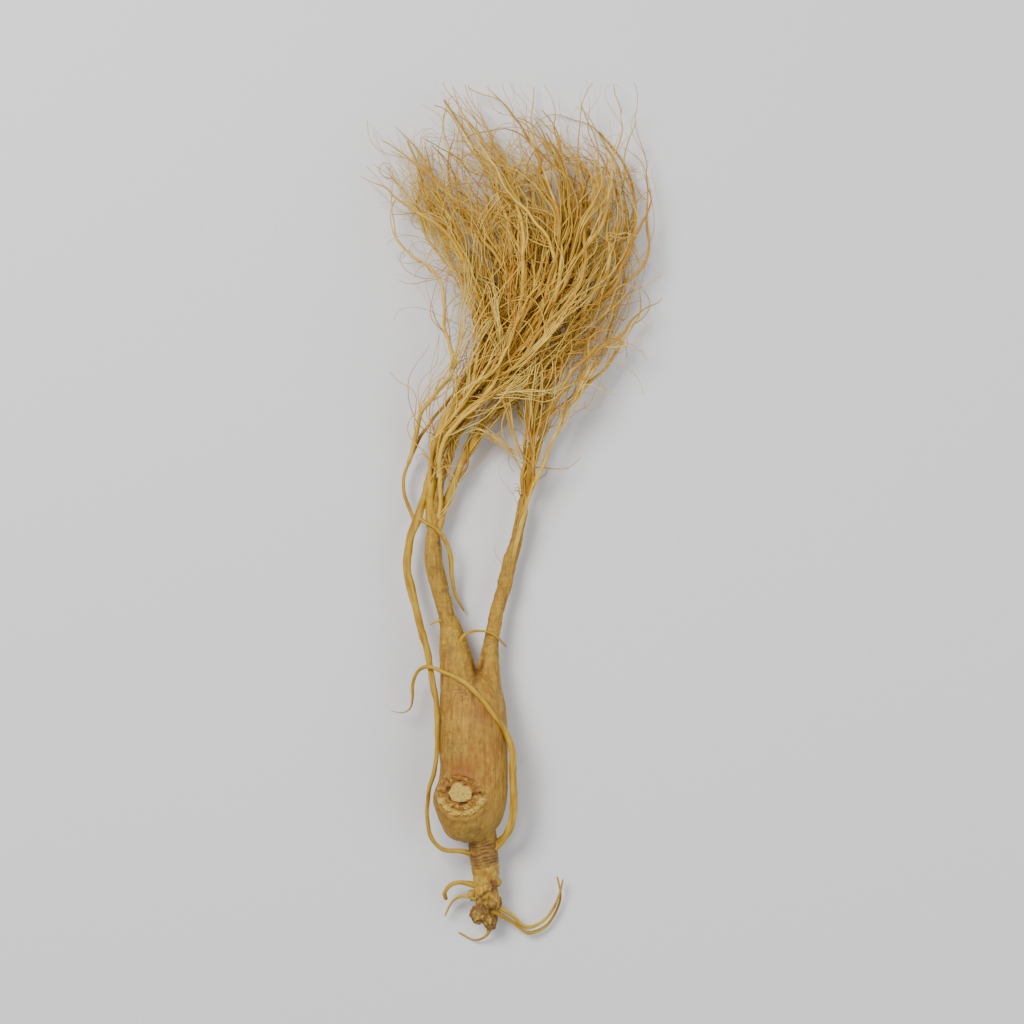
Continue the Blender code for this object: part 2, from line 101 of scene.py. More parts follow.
RIGHT_LEG = (
    (2.0, 4.0, 6.8, 5.0), (2.8, 12.0, 6.8, 4.2), (3.5, 19.5, 6.3, 2.8), (4.1, 25.0, 5.6, 2.1),
    (5.4, 31.5, 5.0, 1.9), (7.6, 40.5, 4.5, 1.8), (10.2, 50.5, 4.0, 1.5), (12.2, 62.0, 3.8, 1.1),
    (14.0, 74.0, 4.4, 0.9), (18.0, 87.0, 5.8, 0.75), (25.0, 99.5, 7.2, 0.6), (33.0, 110.5, 7.6, 0.5),
    (37.6, 123.0, 6.4, 0.4), (36.0, 136.0, 3.4, 0.3), (29.5, 145.5, 0.12, 0.22),
)
LEFT_BRANCH = (
    (-9.2, 49.0, 4.6, 1.0), (-10.2, 56.0, 5.0, 1.0), (-9.9, 63.0, 5.4, 0.9), (-6.4, 73.0, 6.4, 0.8),
    (-0.4, 83.0, 8.0, 0.7), (3.8, 93.0, 9.0, 0.6), (3.4, 104.5, 8.8, 0.52), (-2.2, 117.0, 7.4, 0.44),
    (-8.4, 130.0, 5.4, 0.36), (-11.4, 143.0, 3.0, 0.25),
)
RIGHT_BRANCH = (
    (-8.8, 51.0, 4.5, 1.0), (-6.2, 59.0, 4.4, 0.95), (-2.6, 67.5, 4.8, 0.88), (3.4, 78.0, 5.6, 0.78),
    (11.2, 88.5, 6.8, 0.68), (18.2, 99.5, 8.0, 0.58), (22.0, 111.5, 8.6, 0.5), (22.6, 124.5, 7.4, 0.42),
    (19.4, 137.5, 4.8, 0.33), (14.0, 149.0, 1.0, 0.24),
)
SIDE_STRAND = (
    (2.4, -24.6, 5.6, 0.5), (-2.9, -23.2, 6.2, 0.5), (-8.1, -22.3, 6.8, 0.5), (-10.5, -17.5, 7.6, 0.5),
    (-10.4, -9.5, 8.8, 0.5), (-8.6, -1.7, 9.8, 0.55), (-8.4, 9.0, 9.6, 0.6), (-9.6, 18.5, 8.8, 0.72),
    (-12.0, 28.5, 7.6, 0.88), (-14.7, 38.5, 6.6, 0.95), (-15.4, 47.5, 5.8, 0.95), (-12.9, 55.0, 5.2, 0.98),
    (-10.6, 62.5, 5.4, 0.9), (-7.2, 74.0, 6.6, 0.75), (-1.2, 84.1, 9.2, 0.65), (7.0, 90.0, 11.6, 0.58),
    (15.0, 101.0, 12.8, 0.5), (19.0, 114.0, 12.6, 0.43), (18.0, 129.0, 10.4, 0.36), (12.0, 144.5, 6.2, 0.28),
    (3.0, 156.0, 2.6, 0.2),
)
FRONT_STRAND = (
    (1.8, -24.0, 5.2, 0.86), (5.2, -21.6, 6.6, 0.88), (7.8, -18.6, 8.0, 0.86), (9.2, -13.0, 9.2, 0.84),
    (9.2, -5.0, 10.0, 0.8), (8.7, 1.5, 10.4, 0.75), (6.9, 6.0, 11.0, 0.7), (4.1, 10.2, 11.0, 0.65),
    (1.5, 13.6, 11.0, 0.6), (-1.6, 16.6, 11.0, 0.55), (-5.4, 18.3, 11.0, 0.5), (-9.2, 20.0, 10.6, 0.46),
    (-12.2, 19.6, 8.8, 0.42), (-14.2, 16.4, 6.8, 0.38), (-14.3, 11.2, 5.2, 0.33), (-15.9, 9.0, 4.4, 0.3),
    (-19.3, 9.4, 4.0, 0.2),
)
OUTER_STRAND = (
    (-13.4, 53.2, 5.4, 0.45), (-15.6, 58.0, 4.4, 0.42), (-16.3, 63.0, 3.8, 0.4), (-14.4, 69.5, 4.2, 0.4),
    (-10.0, 77.0, 5.6, 0.38), (-3.4, 85.0, 7.4, 0.36), (1.8, 94.5, 9.0, 0.34), (2.6, 105.5, 9.4, 0.32),
    (-1.4, 117.0, 8.6, 0.3), (-7.6, 129.0, 6.8, 0.27), (-12.6, 140.0, 4.0, 0.22), (-18.5, 147.0, 1.6, 0.18),
)

# Each drawn strand's route and how many points it is first set out with, and those that lie on the body
DRAWN_STRANDS = {
    "left_leg": (LEFT_LEG, 37),
    "right_leg": (RIGHT_LEG, 34),
    "side_strand": (SIDE_STRAND, 42),
    "front_strand": (FRONT_STRAND, 30),
    "outer_strand": (OUTER_STRAND, 22),
    "left_branch": (LEFT_BRANCH, 20),
    "right_branch": (RIGHT_BRANCH, 20),
}
LAID_STRANDS = ("side_strand", "front_strand")

# Neck: x, y, z and radius, and the stretch of its ringed collar
NECK = (
    (1.0, -15.0, 6.6, 3.4), (2.2, -20.0, 6.0, 3.4), (2.5, -24.5, 5.6, 3.3), (2.9, -28.5, 5.4, 3.1),
    (3.0, -32.5, 5.2, 2.9), (3.1, -35.5, 5.0, 2.4),
)
COLLAR_Y = (-26.2, -20.0)
COLLAR_FADE = 0.8
COLLAR_SLANT = 0.22
COLLAR_MIDDLE_X = 2.5
COLLAR_PITCH = 0.82
PINCH_Y = -33.0
PINCH_SLANT = 0.45
PINCH_MIDDLE_X = 3.0
PINCH_WIDTH = 0.5

# Knobs of the old head: x, y, z, then the three half sizes
HEAD_KNOBS = (
    (4.0, -35.1, 5.4, 2.8, 1.9, 2.3),
    (1.5, -38.0, 4.9, 2.7, 2.4, 2.3),
    (3.9, -39.6, 4.6, 2.0, 2.2, 2.0),
    (5.0, -30.4, 5.6, 1.5, 1.5, 1.6),
    (-0.2, -33.8, 4.0, 1.4, 1.5, 1.5),
)
KNOB_LEVEL = 4

# Marks on the skin, each as x, y, z and the size that it fades out over: the old bud scar, the patch of short
# cracks and the reddish patch
BUD_SCAR = ((4.4, -30.2, 8.0, 1.05), (5.0, -31.4, 7.4, 1.05))
CRACKED_PATCH = (-2.9, 14.6, 13.2, 2.8)
FLUSHED_PATCH = (2.6, 9.5, 14.2, 3.2)

# Groove below the fork: its top and foot as x, y, and the lowest z that it reaches
FORK_GROOVE = ((1.1, 21.0), (0.3, 11.5))
GROOVE_LOWEST = 7.0

# Where each part of the skin begins along Y, and the stretch that it fades in over
LEG_FROM_Y, LEG_FADE = 12.0, 14.0
LOW_END_FROM_Y, LOW_END_FADE = -9.0, 9.0
NECK_FROM_Y, NECK_FADE = -19.5, 1.5
HEAD_FROM_Y, HEAD_FADE = -32.8, 2.0
HEAD_DARK_FROM_Y, HEAD_DARK_FADE = -33.0, 3.5
NECK_ALL_BELOW_Y = -21.0
NECK_MIDDLE = (2.4, 5.6)
NECK_REACH = 5.5
NECK_ROOTED_X = (-1.4, 6.4)
NECK_ROOTED_Y = -20.5

# Patterns of the relief: waves a millimetre across and along the root, then where they lie in the noise
LONG_WAVES = (0.28, 0.08)
KNOTS = (0.45, 0.3, 17.0)
STREAKS = (2.1, 0.3)
CRACKED_PARTS = (0.2, 0.12, 40.0)
WOBBLES = (0.35, 0.35)
RING_BREAKS = (0.6, 1.3, 3.0)
NECK_LUMPS = (0.55, 0.5, 9.0)
FOLDS = (0.36, 0.055, 3.0)
WRINKLES = (0.95, 0.13, 11.0)
CROSS_CRACKS = (0.16, 1.1, 23.0)
SHORT_CRACKS = (0.55, 1.9, 41.0)
LEG_RIDGES = (0.8, 0.1, 53.0)
HEAD_TEARS = (0.5, 0.24, 31.0)
HEAD_FLAKES = (1.2, 0.4, 37.0)
CREASE_SHARPNESS = 3.2

# How high or deep the largest marks are
GROOVE_DEPTH = 0.75
RING_HEIGHT = 0.17
BUD_DEPTH = 0.45

# Short rootlets of the neck, shoulder and leg, drawn one by one: x, y, z, radius
SHORT_ROOTLETS = (
    ((4.6, -35.6, 5.0, 0.5), (8.7, -38.0, 4.4, 0.46), (12.2, -41.2, 3.4, 0.42), (16.2, -40.0, 2.8, 0.36),
     (19.4, -35.8, 2.6, 0.32), (20.9, -30.2, 2.8, 0.22)),
    ((4.2, -37.0, 4.2, 0.45), (9.3, -40.2, 3.2, 0.42), (13.2, -42.8, 2.2, 0.38), (17.6, -40.6, 1.8, 0.33),
     (20.4, -35.0, 2.0, 0.28), (19.6, -29.6, 3.4, 0.2)),
    ((1.0, -31.2, 5.2, 0.55), (-2.9, -30.5, 5.6, 0.52), (-5.4, -31.2, 5.4, 0.5), (-6.7, -33.0, 4.8, 0.5),
     (-6.4, -34.6, 4.0, 0.46)),
    ((1.0, -34.4, 4.6, 0.36), (-2.6, -33.9, 4.4, 0.34), (-5.0, -35.4, 3.4, 0.3), (-6.6, -38.8, 2.2, 0.22)),
    ((3.6, -40.4, 4.0, 0.4), (3.2, -43.2, 2.8, 0.34), (0.4, -44.6, 1.2, 0.28), (-3.4, -43.2, 0.05, 0.2)),
    ((-5.6, 30.6, 6.2, 0.42), (-8.0, 30.6, 6.8, 0.32), (-10.0, 29.8, 7.0, 0.2)),
    ((-3.4, 24.8, 8.2, 0.36), (-1.9, 27.6, 9.4, 0.34), (1.2, 28.5, 8.6, 0.3), (4.8, 27.4, 7.6, 0.26),
     (7.6, 24.6, 6.0, 0.2)),
    ((-13.2, 54.6, 5.4, 0.36), (-11.2, 53.6, 6.6, 0.38), (-8.8, 52.2, 6.9, 0.42), (-6.6, 49.4, 6.2, 0.5),
     (-5.3, 45.4, 5.0, 0.58), (-5.1, 41.0, 4.2, 0.52), (-4.2, 36.6, 3.2, 0.36), (-2.4, 33.0, 2.0, 0.22)),
)

# Long rootlets drawn by rule: from which piece, how many, and the stretch of its length that they leave
LONG_ROOTLETS = (
    ("left_leg", 11, 0.3, 0.72),
    ("right_leg", 13, 0.26, 0.72),
    ("side_strand", 8, 0.42, 0.78),
    ("outer_strand", 3, 0.1, 0.6),
    ("left_branch", 4, 0.08, 0.6),
    ("right_branch", 5, 0.08, 0.6),
)
ROOTLET_SEED = 334
ROOTLET_LENGTH = (48.0, 96.0)
ROOTLET_RADIUS = (0.36, 0.6)
ROOTLET_TIP = 0.45
ROOTLET_STEP = 6.0
SPREAD_ANGLE = 0.22
WAVE_ANGLE = (0.08, 0.3)
WAVE_LENGTH = (18.0, 36.0)
CURL_ANGLE = (0.2, 1.5)
CURL_START = 0.6
LOWEST_TIP, HIGHEST_TIP = 0.8, 12.0
RISE = (-3.0, 9.0)
LEFTMOST_X, RIGHTMOST_X, FURTHEST_Y = -26.0, 46.0, 157.0
TIP_SCATTER = 22.0
EMBEDDED = 0.35

# Skin: how closely it is meshed
SKIN_VOXEL = 0.24
SKIN_STEP = 1.0
PER_SPAN = 8
BODY_SIDES = 64
SECTIONS_PER_SPAN = 4
TUBE_LEVEL = 6
SMOOTH_FACTOR = 0.5
SMOOTH_PASSES = 5
LEG_END_RADIUS = 0.62
ABOVE_ALL = 60.0

# Round cut scar on the body's upper face
SCAR_PLACE = (-3.2, -9.7)
SCAR_FACING = Vector((-0.3, -0.17, 1.0)).normalized()
SCAR_WIDENED = 1.13
SCAR_DEPTH = 0.95
SCAR_FLOOR = -0.9
SCAR_RADIUS = 4.9
SCAR_RAISED = 0.22
SCAR_RAISED_OVER = 1.5
SCAR_EDGE_RADIUS = 5.6
SCAR_THICKNESS = 0.5
SCAR_SIDES = 144
SCAR_RINGS = 42
DISC_MIDDLE = (-0.1, 0.95)
DISC_HALF_SIZES = (2.5, 2.35)
TROUGH_WIDTH = 0.75
FURROW_RADIUS = 3.25
CRESCENT_RADIUS = 4.1
TORN_RADIUS = 4.6

# Fine lines: how closely they are set out, and their crinkle
FINE_PER_SPAN = 6
FEWEST_POINTS = 6
CRINKLE_WAVES = 0.22
CRINKLE_APART = 7.3
CRINKLE_FREE = 3.0
WANDER_APART = (5.4, 17.3, 34.7)
THINNED_TO = 0.22

# Swellings, knots and lengthwise furrows of the strands
SWELL_MOST = 0.5
KNOT_MOST = 1.3
KNOT_ABOVE = 0.22
FURROWS_ROUND = 1.4
FURROW_WAVES = 0.22
FURROW_APART = 40
FLUSH = 0.5

# Strands and short rootlets; a flare is the length that it fades out over, and its most at the base
THICK_STRANDS = ("side_strand", "front_strand", "outer_strand", "left_branch", "right_branch")
STRAND_TONE_SEED = 3
STRAND_TONES = (0.45, 0.75)
STRAND_SIDES = 14
STRAND_STEP = 0.8
STRAND_CRINKLE = 0.3
STRAND_SHRIVEL = 0.3
STRAND_THINNED_OVER = 8.0
STRAND_FLARE = (8.0, 1.2)
LEG_END_FROM_Y = 60.0
LEG_END_OVERLAP = 0.1
SHORT_PER_SPAN = 3
SHORT_STEP = 0.6
SHORT_CRINKLE = 0.15
SHORT_FLARE = (4.0, 1.0)

# Long rootlets, and from which point on each thick piece splits into forked hairs
ROOTLET_TONE_SEED = 5
ROOTLET_SIDES = 8
ROOTLET_SHRIVEL = 0.25
LONG_STEP = 1.2
LONG_CRINKLE = 0.35
TIP_CRINKLE = 0.8
THINNED_OVER = 16.0
FORKED_FROM = (
    ("left_leg", 17), ("right_leg", 16), ("side_strand", 23), ("left_branch", 2), ("right_branch", 2),
)

# Fine hairs: their points, radius and sides, how they wave and curl, and the outline that they stay in
HAIR_SEED = 7
HAIR_SIDES = 3
HAIR_POINTS = 22
FEWEST_HAIR_POINTS = 6
HAIR_RADIUS = (0.09, 0.21)
HAIR_THINNED = 0.6
HAIR_WAVE = (0.04, 0.26)
HAIR_WAVE_LENGTH = (7.0, 22.0)
HAIR_JITTER = 0.06
HAIR_RISE = (-3.0, 4.0)
HAIR_TIP_Z = (0.4, 14.0)
LAST_HAIR_SHARE = 0.97
LOOPED_SHARE = 0.2
LOOPED_MORE = 2.2
SPARSE_BELOW = 62.0
SPARSE_LENGTH = 0.4
HAIR_DRAWS = 12
HAIR_MARGIN = (0.3, 13.0)
SIDE_MARGIN_SHARE = 0.3
EDGE = 0.5
ROUNDED_TOP = 15.0
ABOVE_TABLE = 0.05
BELOW_TOP = 0.4
TUFT_HAIRS = (5, 12)
TUFT_SPREAD = (0.4, 3.6)
TUFT_LENGTH = (26.0, 80.0)
TIP_HAIRS = 2
TIP_HAIR_START = (5, 14)
TIP_HAIR_LENGTH = (10.0, 26.0)
TIP_HAIR_THINNED = (0.35, 0.6)

# Kinds of hair: how many single ones and tufts, lengths, most curl, how far they stray at first, and how
# firmly they are held to their parent's course
HAIR_KINDS = {
    "pale": (110, 26, (12.0, 60.0), 2.4, 0.45, 0.22),
    "golden": (300, 26, (12.0, 60.0), 2.2, 0.45, 0.22),
    "russet": (200, 6, (7.0, 34.0), 3.4, 0.7, 0.12),
    "curled": (170, 0, (8.0, 26.0), 7.5, 0.9, 0.05),
}
FORK_COUNT = 64
FORK_LENGTH = (34.0, 90.0)
FORK_RADIUS = (0.22, 0.42)
FORK_HABIT = (1.4, 0.4, 0.28)
TUFT_HABIT = (2.6, 0.7, 0.1)
TIP_HABIT = (1.6, 0.4, 0.28)

# Colours of the skin and of the scar
TAN = (0.395, 0.19, 0.009)
TAN_DARK = (0.25, 0.105, 0.007)
TAN_PALE = (0.52, 0.305, 0.028)
ORANGE_TAN = (0.38, 0.15, 0.005)
YELLOW_TAN = (0.42, 0.235, 0.008)
STRAW = (0.57, 0.38, 0.045)
OLIVE = (0.3, 0.185, 0.026)
RUSSET = (0.27, 0.08, 0.004)
BROWN = (0.135, 0.057, 0.012)
RED_BROWN = (0.24, 0.075, 0.01)
# DARK_BROWN is also laid in as painted shade in the skin's creases and the scar's hollows
DARK_BROWN = (0.085, 0.032, 0.007)
BUD_RED = (0.115, 0.03, 0.008)
CUT_TAN = (0.39, 0.225, 0.03)
CUT_PALE = (0.57, 0.405, 0.082)

# Dark, middle and pale colour of each kind of strand and hair
STRAND_COLOURS = {
    "golden_rootlet": ((0.27, 0.12, 0.004), (0.43, 0.245, 0.01), (0.56, 0.375, 0.038)),
    "tangled_rootlet": ((0.36, 0.167, 0.012), (0.53, 0.308, 0.026), (0.66, 0.442, 0.062)),
    "pale_hair": ((0.6, 0.385, 0.055), (0.79, 0.575, 0.13), (0.88, 0.715, 0.22)),
    "golden_hair": ((0.55, 0.305, 0.026), (0.76, 0.48, 0.072), (0.85, 0.615, 0.14)),
    "russet_hair": ((0.43, 0.178, 0.014), (0.63, 0.33, 0.038), (0.75, 0.465, 0.085)),
    "curled_hair": ((0.45, 0.212, 0.017), (0.67, 0.395, 0.052), (0.79, 0.535, 0.115)),
}

# The table's size in metres and the strength of the room's own light
TABLE_SIZE = 12.0
ROOM_STRENGTH = 0.34


# Shapes of lines


def smooth(points, per_span):
    """The points, with a smooth curve's points filled in between them, each of any number of values."""
    padded = [Vector(p) for p in (points[0], *points, points[-1])]
    filled = []
    for a, b, c, d in zip(padded, padded[1:], padded[2:], padded[3:]):
        squared = 2 * a - 5 * b + 4 * c - d
        cubed = 3 * b - a - 3 * c + d
        for i in range(per_span):
            t = i / per_span
            filled.append(0.5 * (2 * b + (c - a) * t + squared * t**2 + cubed * t**3))
    return filled + [padded[-1]]


def line_length(points):
    """The length of a line along its points."""
    return sum((b.xyz - a.xyz).length for a, b in zip(points, points[1:]))


def evenly(points, count):
    """count points at equal distances along a dense line of (x, y, z, radius) points."""
    reached = [0.0]
    for a, b in zip(points, points[1:]):
        reached.append(reached[-1] + (b.xyz - a.xyz).length)
    picked, i = [], 0
    for n in range(count):
        target = reached[-1] * n / (count - 1)
        while i < len(points) - 2 and reached[i + 1] < target:
            i += 1
        share = (target - reached[i]) / max(reached[i + 1] - reached[i], 1e-9)
        picked.append(points[i].lerp(points[i + 1], min(share, 1.0)))
    return picked


def wander(at):
    """A smoothly varying push in X, Y and Z, the same in every run."""
    return Vector([noise.noise(at + Vector((0, 0, apart))) for apart in WANDER_APART])


def fine_line(points, step, crinkle=0.0, seed=0.0, tip_crinkle=0.0):
    """The line smoothed to a point every step, with a slight crinkle that may grow towards its tip."""
    dense = smooth(points, FINE_PER_SPAN)
    count = max(FEWEST_POINTS, round(line_length(dense) / step))
    line = evenly(dense, count)
    for i, p in enumerate(line):
        at = Vector((i * step * CRINKLE_WAVES, seed * CRINKLE_APART, 0.0))
        grown = crinkle + tip_crinkle * (i / (count - 1)) ** 2
        bend = wander(at) * grown * min(1.0, i * step / CRINKLE_FREE)
        p.x += bend.x
        p.y += bend.y
        p.z = max(p.z + bend.z, p[3])
    return line


def pointed(line, over):
    """The line, thinned towards its tip over a length, as a grown rootlet ends."""
    left = 0.0
    for i in range(len(line) - 1, 0, -1):
        line[i][3] *= THINNED_TO + (1 - THINNED_TO) * min(1.0, left / over)
        left += (line[i].xyz - line[i - 1].xyz).length
    return line


def flared(line, over, most):
    """The line, thickened towards its base over a length, where it grows out of its parent."""
    gone = 0.0
    for i in range(len(line) - 1):
        if gone > over:
            break
        line[i][3] *= 1 + most * (1 - gone / over) ** 2
        gone += (line[i + 1].xyz - line[i].xyz).length
    return line


# Objects


def deselect():
    """Leaves nothing selected."""
    bpy.ops.object.select_all(action="DESELECT")


def only(item):
    """Makes the object the only one selected, and the active one."""
    deselect()
    item.select_set(True)
    bpy.context.view_layer.objects.active = item


def modified(item, name, kind, **settings):
    """Gives the object, the active one, a modifier with the settings named, and applies it."""
    made = item.modifiers.new(name, kind)
    for key, value in settings.items():
        setattr(made, key, value)
    bpy.ops.object.modifier_apply(modifier=made.name)


def record(mesh, name, facts):
    """Keeps four values for each point of the mesh, for its finish to read."""
    attribute = mesh.attributes.new(name, "FLOAT_COLOR", "POINT")
    attribute.data.foreach_set("color", [value for fact in facts for value in fact])


def swelling(tone, distance):
    """How much thicker than drawn a strand is at a distance from its base."""
    slow = noise.noise(Vector((tone * 90, distance * 0.34, 0)))
    knot = noise.noise(Vector((tone * 50, distance * 0.3, 7)))
    return slow * SWELL_MOST + max(0.0, knot - KNOT_ABOVE) * KNOT_MOST


def strand_mesh(name, lines, sides, tones, shrivel=0.0):
    """Closed strands with pointed ends along the lines, as one object, furrowed lengthwise by shrivel.

    The attribute "strand" holds each strand's tone, its share of the way to the tip and how far it stands
    out at that place, which its finish reads to paint shade into the furrows.
    """
    points, faces, facts = [], [], []
    for line, tone in zip(lines, tones):
        first = len(points)
        side = Vector((0, 0, 1))
        distance = 0.0
        for i, p in enumerate(line):
            before, after = line[max(i - 1, 0)], line[min(i + 1, len(line) - 1)]
            along = (after.xyz - before.xyz).normalized()
            side = (side - along * side.dot(along)).normalized()
            other = along.cross(side)
            if i:
                distance += (p.xyz - line[i - 1].xyz).length
            radius = p[3] * (1 + shrivel * swelling(tone, distance))
            layer = Vector((tone * FURROW_APART, 0, distance * FURROW_WAVES))
            for k in range(sides):
                angle = math.tau * k / sides
                around = math.cos(angle) * side + math.sin(angle) * other
                furrow = shrivel * noise.noise(around * FURROWS_ROUND + layer)
                points.append((p.xyz + radius * (1 + furrow) * around) * MM)
                facts.append((tone, i / (len(line) - 1), FLUSH + furrow, 1.0))
        for i in range(len(line) - 1):
            for k in range(sides):
                a = first + i * sides + k
                b = first + i * sides + (k + 1) % sides
                faces.append((a, b, b + sides, a + sides))
        for end, ring, sign in ((line[0], 0, -1), (line[-1], len(line) - 1, 1)):
            direction = (line[1].xyz - line[0].xyz) if ring == 0 else (line[-1].xyz - line[-2].xyz)
            tip = len(points)
            points.append((end.xyz + sign * direction.normalized() * end[3]) * MM)
            facts.append((tone, float(ring > 0), FLUSH, 1.0))
            for k in range(sides):
                a, b = first + ring * sides + k, first + ring * sides + (k + 1) % sides
                faces.append((b, a, tip) if ring == 0 else (a, b, tip))
    mesh = bpy.data.meshes.new(name)
    mesh.from_pydata(points, [], faces)
    record(mesh, "strand", facts)
    mesh.shade_smooth()
    item = bpy.data.objects.new(name, mesh)
    bpy.context.collection.objects.link(item)
    return item


def swept(name, line, sides_level):
    """A tube drawn as a path with a round bevel, and then made a mesh."""
    deselect()
    bpy.ops.curve.primitive_nurbs_path_add(location=(0, 0, 0))
    item = bpy.context.object
    item.name = name
    curve = item.data
    curve.bevel_depth = MM
    curve.bevel_resolution = sides_level
    curve.use_fill_caps = True
    spline = curve.splines[0]
    spline.type = "POLY"
    spline.points.add(len(line) - len(spline.points))
    for place, point in zip(line, spline.points):
        point.co = (*(place.xyz * MM), 1.0)
        point.radius = place[3]
    bpy.ops.object.convert(target="MESH")
    return item


def drawn_out_body():
    """The body, extruded ring by ring from its blunt end and drawn in and out as it goes."""
    sections = smooth(BODY_SECTIONS, SECTIONS_PER_SPAN)
    y, x, half_width, half_height, z = sections[0]
    deselect()
    bpy.ops.mesh.primitive_circle_add(
        vertices=BODY_SIDES,
        radius=MM,
        fill_type="NGON",
        location=(x * MM, y * MM, z * MM),
        rotation=(math.pi / 2, 0, 0),
    )
    item = bpy.context.object
    bpy.ops.object.mode_set(mode="EDIT")
    bpy.ops.transform.resize(value=(half_width, 1, half_height))
    for before, after in zip(sections, sections[1:]):
        step = (after[1] - before[1], after[0] - before[0], after[4] - before[4])
        bpy.ops.mesh.extrude_region_move(TRANSFORM_OT_translate={"value": [s * MM for s in step]})
        bpy.ops.transform.resize(
            value=(after[2] / before[2], 1, after[3] / before[3]),
            center_override=(after[1] * MM, after[0] * MM, after[4] * MM),
        )
    bpy.ops.object.mode_set(mode="OBJECT")
    bpy.ops.object.transform_apply(location=True, rotation=True, scale=True)
    return item


def knob(x, y, z, *half_sizes):
    """One rounded knob of the head."""
    deselect()
    place = (x * MM, y * MM, z * MM)
    bpy.ops.mesh.primitive_ico_sphere_add(subdivisions=KNOB_LEVEL, radius=MM, location=place)
    item = bpy.context.object
    bpy.ops.object.mode_set(mode="EDIT")
    bpy.ops.transform.resize(value=half_sizes)
    bpy.ops.object.mode_set(mode="OBJECT")
    bpy.ops.object.transform_apply(location=True, rotation=True, scale=True)
    return item


def thick_part(points):
    """The part of a leg's line that belongs to the skin, down to the leg's thin end."""
    return [p for p in fine_line(points, SKIN_STEP) if p[3] > LEG_END_RADIUS]


def plain_skin():
    """Body, legs, neck and knobs, grown together into one smooth skin."""
    pieces = [drawn_out_body()]
    pieces += [swept("leg", thick_part(leg), TUBE_LEVEL) for leg in (LEFT_LEG, RIGHT_LEG)]
    pieces.append(swept("neck", fine_line(NECK, SKIN_STEP), TUBE_LEVEL))
    pieces += [knob(*sizes) for sizes in HEAD_KNOBS]
    only(pieces[0])
    for item in pieces:
        item.select_set(True)
    bpy.ops.object.join()
    skin = bpy.context.object
    skin.name = "root_skin"
    voxel = SKIN_VOXEL * MM
    modified(skin, "Grown together", "REMESH", mode="VOXEL", voxel_size=voxel, use_smooth_shade=True)
    modified(skin, "Eased", "SMOOTH", factor=SMOOTH_FACTOR, iterations=SMOOTH_PASSES)
    return skin


def surface_of(item):
    """A search tree of the object's surface, for laying strands on it."""
    points = [v.co for v in item.data.vertices]
    return BVHTree.FromPolygons(points, [p.vertices for p in item.data.polygons])


def top_at(surface, x, y):
    """The height of the surface above (x, y), in millimetres, or None beside it."""
    hit = surface.ray_cast(Vector((x, y, ABOVE_ALL)) * MM, Vector((0, 0, -1)))[0]
    return None if hit is None else hit.z / MM


def rooted(p):
    """True where a strand is still inside the neck that it grows from."""
    low, high = NECK_ROOTED_X
    return p.y < NECK_ROOTED_Y and low < p.x < high


def laid(points, surface):
    """Raises the points where needed, so that the strand lies on the surface, a little sunk in."""
    for p in points:
        if rooted(p):
            continue
        top = top_at(surface, p.x, p.y)
        if top is not None:
            p.z = max(p.z, top + (1 - EMBEDDED) * p[3])


# Relief and colour masks of the skin


def clamped(value):
    """The value, kept between 0 and 1."""
    return max(0.0, min(1.0, value))


def stretched(p, across, along, lift=0.0):
    """Where p lies in the noise, with so many waves a millimetre across and along the root."""
    return Vector((p.x * across, p.y * along, p.z * across + lift))


def waves(p, across, along, lift=0.0):
    """Soft waves, from -1 to 1."""
    return noise.noise(stretched(p, across, along, lift))


def ridged(p, across, along, seed):
    """Sharp creases: 1 in the crease and 0 on the flats."""
    at = stretched(p, across, along) + Vector((seed, seed * 0.7, 0))
    return max(0.0, 1.0 - CREASE_SHARPNESS * abs(noise.noise(at)))


def spot(p, x, y, z, size):
    """1 at the place, fading out round it."""
    return math.exp(-((p.x - x) ** 2 + (p.y - y) ** 2 + (p.z - z) ** 2) / size**2)


def collar_share(y):
    """1 within the ringed collar, fading out at both ends."""
    low, high = COLLAR_Y
    return clamped(min((y - low + COLLAR_FADE) / COLLAR_FADE, (high + COLLAR_FADE - y) / COLLAR_FADE))


def fork_groove(p):
    """1 in the groove that runs down the upper face from the fork between the legs, fading out downwards."""
    (top_x, top_y), (foot_x, foot_y) = FORK_GROOVE
    share = clamped((top_y - p.y) / (top_y - foot_y))
    middle = top_x + (foot_x - top_x) * share + 0.4 * noise.noise(Vector((0, p.y * 0.5, 0)))
    width = 0.55 + 0.5 * (1 - share)
    beside = math.exp(-(((p.x - middle) / width) ** 2))
    return beside * (1 - share) ** 0.45 * (p.z > GROOVE_LOWEST) * clamped((top_y + 3.0 - p.y) / 2.0)


